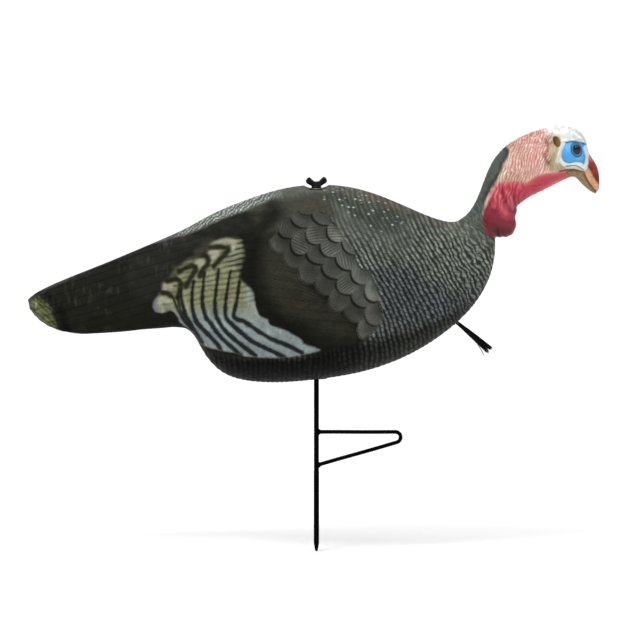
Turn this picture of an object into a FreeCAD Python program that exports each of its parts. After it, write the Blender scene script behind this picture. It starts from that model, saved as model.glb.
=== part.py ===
import FreeCAD, Part
import math
import os
import re
import Sketcher
from FreeCAD import Placement, Rotation, Vector

# Turkey decoy on a step-in stake, in millimetres.
# Frame: +X towards the beak, +Y to the bird's left, +Z up.  The origin is on the stake's
# axis at the top of the ground spike, just below the step loop.

doc = FreeCAD.newDocument("turkey_decoy")
sheet = doc.addObject("Spreadsheet::Sheet", "sizes")

SIZES = (
    # stake
    ("rod_dia", 7.0), ("spike_dia", 7.5), ("spike_length", 100.0), ("tip_length", 12.0),
    ("tip_dia", 1.6), ("step_height", 1.0), ("thread_dia", 6.35), ("thread_start", 372.0),
    ("rod_top", 406.2),
    # step loop
    ("wire_dia", 5.5), ("bar_height", 55.6), ("leg_height", 8.6), ("leg_slope", 16.0),
    ("leg_reach", 110.5), ("bend_radius", 7.5), ("weld_root", 9.4), ("weld_toe", 6.0), ("weld_reach", 6.6),
    # lock nut and support washer on the rod, under the back
    ("nut_width", 11.1), ("nut_height", 5.8), ("nut_base", 378.2), ("washer_dia", 19.0),
    ("washer_thick", 1.6),
    # back bush, its stiffener plate and the recess in the back
    ("bush_base", 386.0), ("bush_barrel", 12.0), ("bush_flange", 24.0), ("seat_height", 394.4),
    ("flange_thick", 2.0), ("bush_bore", 6.46), ("plate_dia", 50.0), ("plate_thick", 3.0),
    ("boss_dia", 44.0), ("boss_base", 391.0), ("recess_dia", 35.0),
    # captive washer and wing nut
    ("cap_washer_base", 396.7), ("cap_washer_dia", 20.0), ("cap_washer_thick", 1.4),
    ("cap_washer_bore", 7.0), ("wing_base", 398.3), ("hub_base_dia", 14.0), ("hub_top_dia", 11.0),
    ("hub_height", 8.7), ("wing_bore", 6.45), ("wing_reach", 13.2), ("wing_top", 12.9),
    ("wing_tip_radius", 2.8), ("wing_thick", 3.4), ("wing_turned", 28.0),
    # belly hole and its grommet
    ("belly_seat", 132.5), ("belly_boss_top", 137.0), ("belly_boss_dia", 38.0), ("belly_hole", 21.0),
    ("grommet_flange", 30.0), ("grommet_flange_thick", 2.0), ("grommet_bore", 7.12),
    ("grommet_lip", 23.0), ("grommet_lip_thick", 2.2),
    # shell walls
    ("body_wall", 3.5), ("head_wall", 3.2),
    # neck joint, measured along the neck's own axis
    ("neck_x", 226.2), ("neck_z", 340.9), ("neck_lean", 30.46), ("neck_gap", 0.4),
    ("collar_dia", 48.0), ("collar_depth", 15.0), ("collar_bore", 39.0), ("plug_dia", 38.88),
    ("plug_lip", 40.8), ("plug_lip_height", 3.0), ("plug_hollow", 30.0), ("plug_flange", 47.0),
    ("plug_flange_thick", 5.0),
    # wattle
    ("wattle_x", 258.6), ("wattle_z", 352.4), ("wattle_high", 23.0), ("wattle_long", 20.4),
    ("wattle_wide", 19.0),
    # eyes
    ("eye_x", 365.2), ("eye_y", 20.0), ("eye_z", 450.6), ("eye_yaw", 17.0), ("eye_dia", 11.2),
    ("eye_ball", 8.0), ("eye_proud", 1.3), ("eye_deep", 2.0),
    # beard, measured along its own axis
    ("beard_x", 196.2), ("beard_z", 209.6), ("beard_lean", 128.3), ("beard_length", 60.0),
    ("beard_root", 4.6), ("beard_end", 11.0), ("beard_plug", 4.8), ("beard_plug_in", 28.0),
    ("beard_ring", 5.4), ("beard_ring_end", 4.0), ("beard_bore", 4.92), ("beard_barrel", 8.0),
    ("beard_flange", 10.4), ("beard_flange_thick", 1.6), ("beard_barrel_end", 5.2),
    ("beard_lip", 9.6), ("beard_lip_thick", 1.4),
)

for number, (alias, value) in enumerate(SIZES, start=1):
    sheet.set(f"A{number}", alias)
    sheet.set(f"B{number}", str(value))
    sheet.setAlias(f"B{number}", alias)
doc.recompute()


# ---------------------------------------------------------------- helpers

def evaluate(text):
    """The value of an expression of the sheet's cells."""
    return float(sheet.evalExpression(text))


def from_sheet(text):
    """The expression as another object writes it; every alias has an underscore."""
    return re.sub(r"([a-z]+_[a-z_]+)", r"sizes.\1", text)


def bind(thing, **expressions):
    """Bind properties to the sheet; a double underscore in a name stands for a dot."""
    for name, text in expressions.items():
        thing.setExpression(name.replace("__", "."), from_sheet(text))
    return thing


def limit(sketch, value, *constraint):
    """Add a sketch dimension and bind it to the sheet."""
    index = sketch.addConstraint(Sketcher.Constraint(*constraint, evaluate(value)))
    sketch.setExpression(f"Constraints[{index}]", from_sheet(value))


def new_sketch(body, name, role="XZ_Plane"):
    """A sketch on one of the body's own origin planes."""
    sketch = body.newObject("Sketcher::SketchObject", name)
    plane = next(f for f in body.Origin.OriginFeatures if f.Role == role)
    sketch.AttachmentSupport = (plane, [""])
    sketch.MapMode = "FlatFace"
    return sketch


def tie(sketch, edge, end, across, up):
    """Tie one end of an edge to the sketch's origin by two bound distances."""
    for kind, axis, text in (("DistanceX", -2, across), ("DistanceY", -1, up)):
        if evaluate(text) == 0:
            sketch.addConstraint(Sketcher.Constraint("PointOnObject", edge, end, axis))
        else:
            limit(sketch, text, kind, -1, 1, edge, end)


def outline(sketch, corners):
    """A closed polygon with one bound corner for each (across, up) pair of expressions."""
    points = [Vector(evaluate(across), evaluate(up), 0) for across, up in corners]
    last = len(points) - 1
    for i, point in enumerate(points):
        following = points[0] if i == last else points[i + 1]
        sketch.addGeometry(Part.LineSegment(point, following), False)
    for i in range(len(points)):
        following = 0 if i == last else i + 1
        sketch.addConstraint(Sketcher.Constraint("Coincident", i, 2, following, 1))
    for i, (across, up) in enumerate(corners):
        tie(sketch, i, 1, across, up)


def turned(label, corners):
    """A body turned about its own Z axis from (radius, height) expressions."""
    body = doc.addObject("PartDesign::Body", label)
    sketch = new_sketch(body, label + "_profile")
    outline(sketch, corners)
    turn = body.newObject("PartDesign::Revolution", label + "_turn")
    turn.Profile = sketch
    turn.ReferenceAxis = (sketch, ["V_Axis"])
    turn.Angle = 360
    return body


def round_bar(name, dia, base, top):
    """A bound cylinder on the stake's axis between two heights."""
    bar = doc.addObject("Part::Cylinder", name)
    return bind(bar, Radius=f"({dia}) / 2", Height=f"({top}) - ({base})", Placement__Base__z=base)


def lean(thing, x, z, angle):
    """Stand a piece on a leaning axis in the mid-plane, at an angle from +Z towards +X."""
    thing.Placement = Placement(Vector(), Rotation(Vector(0, 1, 0), evaluate(angle)))
    return bind(thing, Placement__Base__x=x, Placement__Base__z=z, Placement__Rotation__Angle=angle)


def leaning_bar(name, dia, base, top, x, z, angle):
    """A bound cylinder on a leaning axis, between two distances along it."""
    bar = doc.addObject("Part::Cylinder", name)
    bind(bar, Radius=f"({dia}) / 2", Height=f"({top}) - ({base})")
    start_x = f"{x} + ({base}) * sin({angle} * 1deg)"
    start_z = f"{z} + ({base}) * cos({angle} * 1deg)"
    return lean(bar, start_x, start_z, angle)


def cut(label, base, tool):
    result = doc.addObject("Part::Cut", label)
    result.Base = base
    result.Tool = tool
    return result


def fuse(label, shapes):
    result = doc.addObject("Part::MultiFuse", label)
    result.Shapes = shapes
    return result


def common(label, shapes):
    result = doc.addObject("Part::MultiCommon", label)
    result.Shapes = shapes
    return result


def mirrored(label, source):
    """The same piece on the bird's other side."""
    result = doc.addObject("Part::Mirroring", label)
    result.Source = source
    result.Normal = Vector(0, 1, 0)
    return result


# ---------------------------------------------------------------- moulded skins
# A moulded half is one smooth skin drawn through cross-sections.  Each section is
# (top x, top z, bottom x, bottom z, half width, form).  The form blends the section's
# outline from TAIL (-1, a narrow ridge over a wide folded fan) through BODY (0, an egg)
# to ROUND (+1, a circle).  Each outline is seven (down the section, outwards) fractions.

TAIL = ((0, 0), (0.02, 0.30), (0.22, 0.70), (0.60, 0.92), (1.02, 1.12), (0.95, 0.55), (0.86, 0))
BODY = ((0, 0), (0.0, 0.22), (0.13, 0.80), (0.50, 1.14), (0.90, 0.86), (1.0, 0.36), (1, 0))
ROUND = ((0, 0), (0, 0.265), (0.105, 0.774), (0.5, 1.113), (0.895, 0.774), (1, 0.265), (1, 0))

BODY_SECTIONS = (
    (-404, 241, -401, 229, 8, -1),
    (-397, 249, -390, 213, 26, -1),
    (-376, 260, -365, 197, 40, -1),
    (-338, 276, -324, 191, 46, -1),
    (-289, 295, -275, 195, 50, -1),
    (-240, 316, -226, 199, 56, -1),
    (-202, 332, -185, 202, 64, -0.8),
    (-177, 344, -170, 190, 76, -0.45),
    (-155, 357, -157, 160, 88, -0.2),
    (-128, 370, -132, 136, 99, 0),
    (-86, 386, -93, 126, 110, 0),
    (-37, 401, -44, 125, 117, 0),
    (19, 404, 12, 131, 118, 0),
    (68, 396, 68, 140, 114, 0),
    (117, 376, 124, 160, 104, 0),
    (156, 358, 173, 189, 90, 0),
    (182, 350, 215, 225, 70, 0.2),
    (194, 350, 240, 262, 48, 0.5),
    (199, 352, 251, 297, 34, 0.8),
    (202.4, 354.9, 250, 326.9, 27.6, 1),
)

HEAD_SECTIONS = (
    (202.4, 354.9, 250, 326.9, 27.6, 1),
    (211, 359.8, 255.6, 337.4, 26, 1),
    (222, 375.2, 264, 351.4, 24, 1),
    (231.8, 400.4, 273.8, 365.4, 22, 1),
    (241.6, 428.4, 285, 376.6, 21, 1),
    (255.6, 449.4, 299, 386.4, 21, 1),
    (275.2, 464.8, 314.4, 393.4, 21, 1),
    (299, 476, 329.8, 401.1, 21.5, 1),
    (322.8, 483, 345.2, 408.8, 22, 1),
    (346.6, 486.5, 356.4, 414.4, 22.5, 1),
    (367, 481.8, 363.4, 413, 21, 1),
    (378, 465, 369, 406, 17, 1),
    (379.6, 446.6, 376, 399, 11, 1),
    (389, 436.8, 383, 393.4, 8, 1),
    (397, 418.6, 390, 389.2, 6, 1),
    (395.6, 397.6, 391.4, 390.6, 3, 1),
)


def inset(sections, wall):
    """The sections of a moulding's inner skin."""
    inner = []
    for top_x, top_z, low_x, low_z, half, form in sections:
        depth = math.hypot(low_x - top_x, low_z - top_z)
        step_x = (low_x - top_x) * wall / depth
        step_z = (low_z - top_z) * wall / depth
        inner.append((top_x + step_x, top_z + step_z, low_x - step_x, low_z - step_z,
                      half - wall, form))
    return inner


def moved(section, distance):
    """A section of the neck carried along the neck's axis."""
    angle = math.radians(evaluate("neck_lean"))
    step_x = distance * math.sin(angle)
    step_z = distance * math.cos(angle)
    top_x, top_z, low_x, low_z, half, form = section
    return (top_x + step_x, top_z + step_z, low_x + step_x, low_z + step_z, half, form)


def poles(section, overlap):
    """One section's row of poles; overlap carries its ends across the mid-plane."""
    top_x, top_z, low_x, low_z, half, form = section
    other = ROUND if form > 0 else TAIL
    share = abs(form)
    row = []
    for (down, out), (other_down, other_out) in zip(BODY, other):
        s = down + (other_down - down) * share
        y = (out + (other_out - out) * share) * half
        row.append(Vector(top_x + (low_x - top_x) * s, max(y, 0) or -overlap,
                          top_z + (low_z - top_z) * s))
    return row


def clamped(count):
    """Knots and multiplicities of an even cubic curve that ends on its end poles."""
    spans = count - 3
    return [4] + [1] * (spans - 1) + [4], [float(k) for k in range(spans + 1)]


def moulded_half(sections, overlap=0.0):
    """The solid between one side's skin and the mid-plane."""
    grid = [poles(section, overlap) for section in sections]
    along, along_knots = clamped(len(grid))
    around, around_knots = clamped(len(grid[0]))
    skin = Part.BSplineSurface()
    skin.buildFromPolesMultsKnots(grid, along, around, along_knots, around_knots, False, False, 3, 3)
    face = skin.toShape()
    first = skin.uIso(0).toShape()
    last = skin.uIso(along_knots[-1]).toShape()
    ridge = skin.vIso(0).toShape()
    keel = skin.vIso(around_knots[-1]).toShape()
    first_chord = Part.makeLine(grid[0][0], grid[0][-1])
    last_chord = Part.makeLine(grid[-1][0], grid[-1][-1])
    flats = [Part.Face(Part.Wire(Part.sortEdges(edges)[0])) for edges in (
        [first, first_chord], [last, last_chord], [ridge, last_chord, keel, first_chord])]
    shell = Part.Shell([face] + flats)
    shell.sewShape()
    solid = Part.Solid(shell)
    if solid.Volume < 0:
        solid.reverse()
    return solid


def moulding(name, sections, overlap=0.0):
    feature = doc.addObject("Part::Feature", name)
    feature.Shape = moulded_half(sections, overlap)
    feature.Placement = Placement()
    return feature


# ---------------------------------------------------------------- stake

def make_stake_rod():
    return turned("stake_rod", (
        ("0", "-spike_length - tip_length"),
        ("tip_dia / 2", "-spike_length - tip_length"),
        ("spike_dia / 2", "-spike_length"),
        ("spike_dia / 2", "0"),
        ("rod_dia / 2", "step_height"),
        ("rod_dia / 2", "thread_start"),
        ("thread_dia / 2", "thread_start + step_height"),
        ("thread_dia / 2", "rod_top - step_height"),
        ("thread_dia / 2 - step_height", "rod_top"),
        ("0", "rod_top"),
    ))


def make_step_loop():
    """A wire that leaves the rod level, bends back and returns to it on a slope."""
    body = doc.addObject("PartDesign::Body", "step_loop")
    slope = math.radians(evaluate("leg_slope"))
    radius = evaluate("bend_radius")
    bar = evaluate("bar_height")
    leg = evaluate("leg_height")
    centre = Vector(evaluate("leg_reach"), bar - radius, 0)
    leg_end = centre + Vector(math.sin(slope), -math.cos(slope), 0) * radius

    path = new_sketch(body, "step_loop_path")
    path.addGeometry(Part.LineSegment(Vector(0, bar, 0), Vector(centre.x, bar, 0)), False)
    bend = Part.ArcOfCircle(Part.Circle(centre, Vector(0, 0, 1), radius), slope - math.pi / 2, math.pi / 2)
    path.addGeometry(bend, False)
    path.addGeometry(Part.LineSegment(leg_end, Vector(0, leg, 0)), False)
    path.addConstraint(Sketcher.Constraint("Horizontal", 0))
    path.addConstraint(Sketcher.Constraint("Tangent", 0, 2, 1, 2))
    path.addConstraint(Sketcher.Constraint("Tangent", 1, 1, 2, 1))
    tie(path, 0, 1, "0", "bar_height")
    tie(path, 2, 2, "0", "leg_height")
    limit(path, "bend_radius", "Radius", 1)
    limit(path, "leg_reach", "DistanceX", -1, 1, 1, 3)

    profile = new_sketch(body, "step_loop_profile", "YZ_Plane")
    profile.addGeometry(Part.Circle(Vector(0, bar, 0), Vector(0, 0, 1), evaluate("wire_dia / 2")), False)
    tie(profile, 0, 3, "0", "bar_height")
    limit(profile, "wire_dia", "Diameter", 0)
    pipe = body.newObject("PartDesign::AdditivePipe", "step_loop_pipe")
    pipe.Profile = profile
    pipe.Spine = (path, ["Edge1", "Edge2", "Edge3"])
    doc.recompute()

    saddle = new_sketch(body, "step_loop_saddle", "XY_Plane")
    saddle.addGeometry(Part.Circle(Vector(), Vector(0, 0, 1), evaluate("rod_dia / 2")), False)
    saddle.addConstraint(Sketcher.Constraint("Coincident", 0, 3, -1, 1))
    limit(saddle, "rod_dia", "Diameter", 0)
    pocket = body.newObject("PartDesign::Pocket", "step_loop_cope")
    pocket.Profile = saddle
    pocket.Type = "ThroughAll"
    pocket.Midplane = True
    return body


def make_loop_welds(rod_space):
    """A fillet of weld round each end of the loop, less the rod and the wire."""
    beads = []
    for name, height, angle in (("upper", "bar_height", "90"), ("lower", "leg_height", "90 - leg_slope")):
        bead = doc.addObject("Part::Cone", name + "_bead")
        bind(bead, Radius1="weld_root / 2", Radius2="weld_toe / 2", Height="weld_reach")
        beads.append(lean(bead, "0", height, angle))
    wires = [
        leaning_bar("upper_wire_space", "wire_dia", "0", "weld_reach * 2", "0", "bar_height", "90"),
        leaning_bar("lower_wire_space", "wire_dia", "0", "weld_reach * 2", "0", "leg_height",
                    "(90 - leg_slope)"),
    ]
    return cut("loop_welds", fuse("weld_beads", beads), fuse("weld_space", [rod_space] + wires))


def make_lock_nut():
    hexagon = doc.addObject("Part::Prism", "lock_nut_hexagon")
    hexagon.Polygon = 6
    bind(hexagon, Circumradius="nut_width / 2 / cos(30deg)", Height="nut_height",
         Placement__Base__z="nut_base")
    thread = round_bar("lock_nut_thread", "thread_dia", "nut_base - 1", "nut_base + nut_height + 1")
    return cut("lock_nut", hexagon, thread)


def make_support_washer():
    return turned("support_washer", (
        ("thread_dia / 2", "nut_base + nut_height"),
        ("washer_dia / 2", "nut_base + nut_height"),
        ("washer_dia / 2", "nut_base + nut_height + washer_thick"),
        ("thread_dia / 2", "nut_base + nut_height + washer_thick"),
    ))


# ---------------------------------------------------------------- parts in the back

def make_back_bush():
    return turned("back_bush", (
        ("bush_bore / 2", "bush_base"),
        ("bush_barrel / 2", "bush_base"),
        ("bush_barrel / 2", "seat_height"),
        ("bush_flange / 2", "seat_height"),
        ("bush_flange / 2", "seat_height + flange_thick"),
        ("bush_bore / 2", "seat_height + flange_thick"),
    ))


def make_back_plate():
    return turned("back_plate", (
        ("bush_barrel / 2", "boss_base - plate_thick"),
        ("plate_dia / 2", "boss_base - plate_thick"),
        ("plate_dia / 2", "boss_base"),
        ("bush_barrel / 2", "boss_base"),
    ))


def make_captive_washer():
    return turned("captive_washer", (
        ("cap_washer_bore / 2", "cap_washer_base"),
        ("cap_washer_dia / 2", "cap_washer_base"),
        ("cap_washer_dia / 2", "cap_washer_base + cap_washer_thick"),
        ("cap_washer_bore / 2", "cap_washer_base + cap_washer_thick"),
    ))


def make_wing_nut():
    """A tapered hub with two raked wings, left part-turned on the rod."""
    body = turned("wing_nut", (
        ("0", "wing_base"),
        ("hub_base_dia / 2", "wing_base"),
        ("hub_base_dia / 2", "wing_base + hub_height * 0.3"),
        ("hub_top_dia / 2", "wing_base + hub_height"),
        ("0", "wing_base + hub_height"),
    ))
    wing = new_sketch(body, "wing_outline")
    outline(wing, (
        ("hub_top_dia / 4", "wing_base + hub_height * 0.15"),
        ("hub_base_dia / 2 + 1", "wing_base + hub_height * 0.15"),
        ("wing_reach + wing_tip_radius * 0.8", "wing_base + wing_top - wing_tip_radius * 0.8"),
        ("wing_reach + wing_tip_radius * 0.3", "wing_base + wing_top + wing_tip_radius * 0.8"),
        ("wing_reach - wing_tip_radius", "wing_base + wing_top + wing_tip_radius"),
        ("wing_reach - wing_tip_radius * 1.6", "wing_base + wing_top"),
        ("hub_top_dia / 2", "wing_base + hub_height * 0.8"),
        ("hub_top_dia / 4", "wing_base + hub_height * 0.8"),
    ))
    pad = body.newObject("PartDesign::Pad", "wing_pad")
    pad.Profile = wing
    pad.Midplane = True
    bind(pad, Length="wing_thick")
    doc.recompute()
    pair = body.newObject("PartDesign::PolarPattern", "wing_pair")
    pair.Originals = [pad]
    pair.Axis = (wing, ["V_Axis"])
    pair.Angle = 360
    pair.Occurrences = 2
    body.Tip = pair
    doc.recompute()
    thread = new_sketch(body, "wing_thread", "XY_Plane")
    thread.addGeometry(Part.Circle(Vector(), Vector(0, 0, 1), evaluate("wing_bore / 2")), False)
    thread.addConstraint(Sketcher.Constraint("Coincident", 0, 3, -1, 1))
    limit(thread, "wing_bore", "Diameter", 0)
    bore = body.newObject("PartDesign::Pocket", "wing_bore_pocket")
    bore.Profile = thread
    bore.Type = "ThroughAll"
    bore.Reversed = True
    body.Placement = Placement(Vector(), Rotation(Vector(0, 0, 1), evaluate("wing_turned")))
    bind(body, Placement__Rotation__Angle="wing_turned")
    return body


# ---------------------------------------------------------------- belly, neck, beard

def make_belly_grommet():
    """A soft plug round the rod, with a flange outside the belly and a lip inside."""
    return turned("belly_grommet", (
        ("grommet_bore / 2", "belly_seat - grommet_flange_thick"),
        ("grommet_flange / 2", "belly_seat - grommet_flange_thick"),
        ("grommet_flange / 2", "belly_seat"),
        ("belly_hole / 2", "belly_seat"),
        ("belly_hole / 2", "belly_boss_top"),
        ("grommet_lip / 2", "belly_boss_top"),
        ("belly_hole / 2", "belly_boss_top + grommet_lip_thick"),
        ("grommet_bore / 2", "belly_boss_top + grommet_lip_thick"),
    ))


def make_neck_collar():
    collar = turned("neck_collar", (
        ("collar_bore / 2", "-collar_depth"),
        ("collar_dia / 2", "-collar_depth"),
        ("collar_dia / 2", "0"),
        ("collar_bore / 2", "0"),
    ))
    return lean(collar, "neck_x", "neck_z", "neck_lean")


def make_neck_plug():
    """A hollow plug that turns in the collar, with a snap lip below it."""
    plug = turned("neck_plug", (
        ("0", "neck_gap + 1.5"),
        ("plug_hollow / 2", "neck_gap + 1.5"),
        ("plug_hollow / 2", "-collar_depth - neck_gap - plug_lip_height"),
        ("plug_dia / 2", "-collar_depth - neck_gap - plug_lip_height"),
        ("plug_lip / 2", "-collar_depth - neck_gap - 1"),
        ("plug_lip / 2", "-collar_depth - neck_gap"),
        ("plug_dia / 2", "-collar_depth - neck_gap"),
        ("plug_dia / 2", "neck_gap"),
        ("plug_flange / 2", "neck_gap"),
        ("plug_flange / 2", "neck_gap + plug_flange_thick"),
        ("0", "neck_gap + plug_flange_thick"),
    ))
    return lean(plug, "neck_x", "neck_z", "neck_lean")


def make_beard_grommet():
    grommet = turned("beard_grommet", (
        ("beard_bore / 2", "-beard_barrel_end - beard_lip_thick"),
        ("beard_barrel / 2", "-beard_barrel_end - beard_lip_thick"),
        ("beard_lip / 2", "-beard_barrel_end"),
        ("beard_barrel / 2", "-beard_barrel_end"),
        ("beard_barrel / 2", "-beard_flange_thick"),
        ("beard_flange / 2", "-beard_flange_thick"),
        ("beard_flange / 2", "0"),
        ("beard_bore / 2", "0"),
    ))
    return lean(grommet, "beard_x", "beard_z", "beard_lean")


def make_beard_plug():
    """A pin that pushes into the breast, with a ring crimped round the bristles."""
    plug = turned("beard_plug", (
        ("0", "-beard_plug_in"),
        ("beard_plug / 2 - 0.6", "-beard_plug_in"),
        ("beard_plug / 2", "-beard_plug_in + 1.5"),
        ("beard_plug / 2", "0.3"),
        ("beard_ring / 2", "0.3"),
        ("beard_ring / 2", "beard_ring_end"),
        ("beard_root / 2", "beard_ring_end"),
        ("beard_root / 2", "1.5"),
        ("0", "1.5"),
    ))
    return lean(plug, "beard_x", "beard_z", "beard_lean")


def make_beard_bristles():
    bristles = turned("beard_bristles", (
        ("0", "1.5"),
        ("beard_root / 2", "1.5"),
        ("beard_root / 2", "beard_ring_end"),
        ("beard_end / 2", "beard_length - 5"),
        ("beard_end / 2 - 2", "beard_length"),
        ("0", "beard_length"),
    ))
    return lean(bristles, "beard_x", "beard_z", "beard_lean")


# ---------------------------------------------------------------- body shell

def make_body_shell():
    """Two hollow moulded halves, thickened where the rod passes, then drilled."""
    wall = evaluate("body_wall")
    outer = moulding("body_skin", BODY_SECTIONS)
    inner_sections = inset(BODY_SECTIONS[1:], wall)
    inner_sections[-1] = moved(inner_sections[-1], 6)
    hollow = moulding("body_hollow", inner_sections, 2.0)
    bosses = fuse("rod_bosses", [
        round_bar("back_boss", "boss_dia", "boss_base", "boss_base + 40"),
        round_bar("belly_boss", "belly_boss_dia", "belly_boss_top - 40", "belly_boss_top"),
    ])
    blank = cut("body_blank", outer, cut("body_core", hollow, bosses))
    neck = ("neck_x", "neck_z", "neck_lean")
    beard = ("beard_x", "beard_z", "beard_lean")
    holes = fuse("body_holes", [
        round_bar("back_recess", "recess_dia", "seat_height", "seat_height + 40"),
        round_bar("bush_hole", "bush_barrel", "boss_base - 5", "seat_height + 1"),
        round_bar("belly_spot_face", "grommet_flange + 1", "belly_seat - 20", "belly_seat"),
        round_bar("belly_drilling", "belly_hole", "belly_seat - 1", "belly_boss_top + 5"),
        leaning_bar("neck_bore", "collar_dia", "-collar_depth", "5", *neck),
        leaning_bar("beard_hole", "beard_barrel", "-12", "5", *beard),
        leaning_bar("beard_spot_face", "beard_flange", "-beard_flange_thick", "5", *beard),
    ])
    left = cut("body_shell_left", blank, holes)
    return left, mirrored("body_shell_right", left)


# ---------------------------------------------------------------- head

def lay_eye(thing, depth):
    """Stand a piece on the left eye's axis, starting a depth below the skin."""
    yaw = math.radians(evaluate("eye_yaw"))
    outward = Vector(math.sin(yaw), math.cos(yaw), 0)
    thing.Placement = Placement(
        Vector(evaluate("eye_x"), evaluate("eye_y"), evaluate("eye_z")) - outward * evaluate(depth),
        Rotation(Vector(0, 0, 1), outward))
    return thing


def make_eyes():
    """Domed discs: a ball and a round bar in common, let into the head."""
    stem = lay_eye(doc.addObject("Part::Cylinder", "eye_stem"), "eye_deep")
    bind(stem, Radius="eye_dia / 2", Height="eye_deep + eye_proud + 2")
    ball = lay_eye(doc.addObject("Part::Sphere", "eye_ball"), "eye_ball - eye_proud")
    bind(ball, Radius="eye_ball")
    left = common("eye_left", [stem, ball])
    return left, mirrored("eye_right", left)


def make_head_shell(socket):
    """The hollow neck, head, beak and wattle, moulded in one."""
    gap = evaluate("neck_gap")
    wall = evaluate("head_wall")
    foot = moved(HEAD_SECTIONS[0], gap)
    outer = moulding("head_skin", (foot,) + HEAD_SECTIONS[1:])
    inner_sections = inset(HEAD_SECTIONS[:12], wall)
    inner_sections[0] = moved(inner_sections[0], -6)
    hollow = moulding("head_hollow", inner_sections, 2.0)
    wattle = doc.addObject("Part::Ellipsoid", "wattle_lobe")
    bind(wattle, Radius1="wattle_high", Radius2="wattle_long", Radius3="wattle_wide",
         Placement__Base__x="wattle_x", Placement__Base__z="wattle_z")
    wattle.Angle3 = 180
    skin = fuse("head_and_wattle", [outer, wattle])
    seat = leaning_bar("plug_seat", "plug_flange", "-1", "neck_gap + plug_flange_thick",
                       "neck_x", "neck_z", "neck_lean")
    left = cut("head_half", skin, fuse("head_space", [hollow, socket, seat]))
    whole = fuse("head_shell", [left, mirrored("head_other_half", left)])
    whole.Refine = True
    return whole


# ---------------------------------------------------------------- assembly and export

def make_parts():
    rod_space = round_bar("rod_space", "rod_dia", "0", "nut_base")
    stake = [make_stake_rod(), make_step_loop(), make_loop_welds(rod_space), make_lock_nut(),
             make_support_washer()]
    back = [make_back_bush(), make_back_plate(), make_captive_washer(), make_wing_nut()]
    body = [*make_body_shell(), make_belly_grommet(), make_neck_collar(), make_beard_grommet()]
    eyes = make_eyes()
    socket = lay_eye(doc.addObject("Part::Cylinder", "eye_socket"), "eye_deep")
    bind(socket, Radius="eye_dia / 2", Height="eye_deep + 10")
    head = [make_head_shell(socket), *eyes, make_neck_plug()]
    beard = [make_beard_plug(), make_beard_bristles()]
    return stake + back + body + head + beard


def check_document():
    for thing in doc.Objects:
        if {"Invalid", "Error"} & set(thing.State):
            raise RuntimeError(f"{thing.Label} did not build: {thing.State}")


def export(parts):
    for part in parts:
        if part.Shape.isNull() or not part.Shape.isValid() or part.Shape.Volume <= 0:
            raise RuntimeError(f"{part.Label} has no valid solid")
    os.makedirs("parts", exist_ok=True)
    for part in parts:
        part.Shape.exportStep(f"parts/{part.Label}.step")
        print(f"{part.Label:20s} {len(part.Shape.Solids)} solid(s) {part.Shape.Volume / 1000:9.2f} cm3")


assembly = make_parts()
doc.recompute()
check_document()
export(assembly)
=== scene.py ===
import functools
import math
from types import SimpleNamespace

import bmesh
import bpy
import numpy as np
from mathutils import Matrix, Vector


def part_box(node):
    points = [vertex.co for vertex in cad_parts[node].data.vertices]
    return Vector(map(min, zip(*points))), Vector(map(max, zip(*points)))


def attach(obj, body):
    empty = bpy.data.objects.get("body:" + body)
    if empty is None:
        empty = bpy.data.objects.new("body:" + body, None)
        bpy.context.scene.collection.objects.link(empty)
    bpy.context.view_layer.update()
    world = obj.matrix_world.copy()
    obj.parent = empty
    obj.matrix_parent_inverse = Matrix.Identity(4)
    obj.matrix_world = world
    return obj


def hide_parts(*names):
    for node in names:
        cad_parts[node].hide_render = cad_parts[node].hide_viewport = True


# Turkey decoy: the looks.  Lengths are millimetres in the decoy's own frame (+X beak,
# +Y the bird's left, +Z up, origin on the stake below the step loop) until MM turns them
# into Blender's metres.  Colours are written as screen (sRGB) values from 0 to 255.

MM = 0.001
DRAWN_TILT = 0.07  # the side view looks down a little, so a point nearer the viewer is drawn lower
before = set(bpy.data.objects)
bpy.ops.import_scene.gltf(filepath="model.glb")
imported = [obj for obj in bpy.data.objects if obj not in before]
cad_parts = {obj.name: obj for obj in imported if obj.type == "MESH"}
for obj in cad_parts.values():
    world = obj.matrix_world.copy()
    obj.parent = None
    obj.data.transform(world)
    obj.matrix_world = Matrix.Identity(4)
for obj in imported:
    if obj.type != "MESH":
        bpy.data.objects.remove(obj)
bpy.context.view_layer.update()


def box_mm(node):
    """A CAD node's lowest and highest corner in millimetres."""
    low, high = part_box(node)
    return np.array(low) / MM, np.array(high) / MM


# ---------------------------------------------------------------- number helpers

def smooth(low, high, value):
    """0 below low, 1 above high and an S-curve between them."""
    t = np.clip((value - low) / (high - low), 0, 1)
    return t * t * (3 - 2 * t)


def mix(a, b, share):
    return a + (b - a) * share


def running(steps, axis):
    """The sum of steps so far along an axis, from 0."""
    total = np.cumsum(steps, axis=axis)
    return np.concatenate([np.zeros_like(np.take(total, [0], axis=axis)), total], axis=axis)


def ring_at(value, place, width):
    """1 where a value equals a place, falling away to 0 either side."""
    return np.exp(-((value - place) / width) ** 2)


def near(x, z, centre, width, height):
    """1 at a point of the side view, falling away to 0 around it."""
    return np.exp(-((x - centre[0]) ** 2 / width + (z - centre[1]) ** 2 / height))


def hashed(i, j, seed):
    """A fixed random number from 0 to 1 for each pair of whole numbers."""
    n = (i.astype(np.int64) * 374761393 + j.astype(np.int64) * 668265263 + seed * 974634777) & 0xFFFFFFFF
    n = ((n ^ (n >> 13)) * 1274126177) & 0xFFFFFFFF
    return ((n ^ (n >> 16)) & 0xFFFF) / 65535.0


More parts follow.
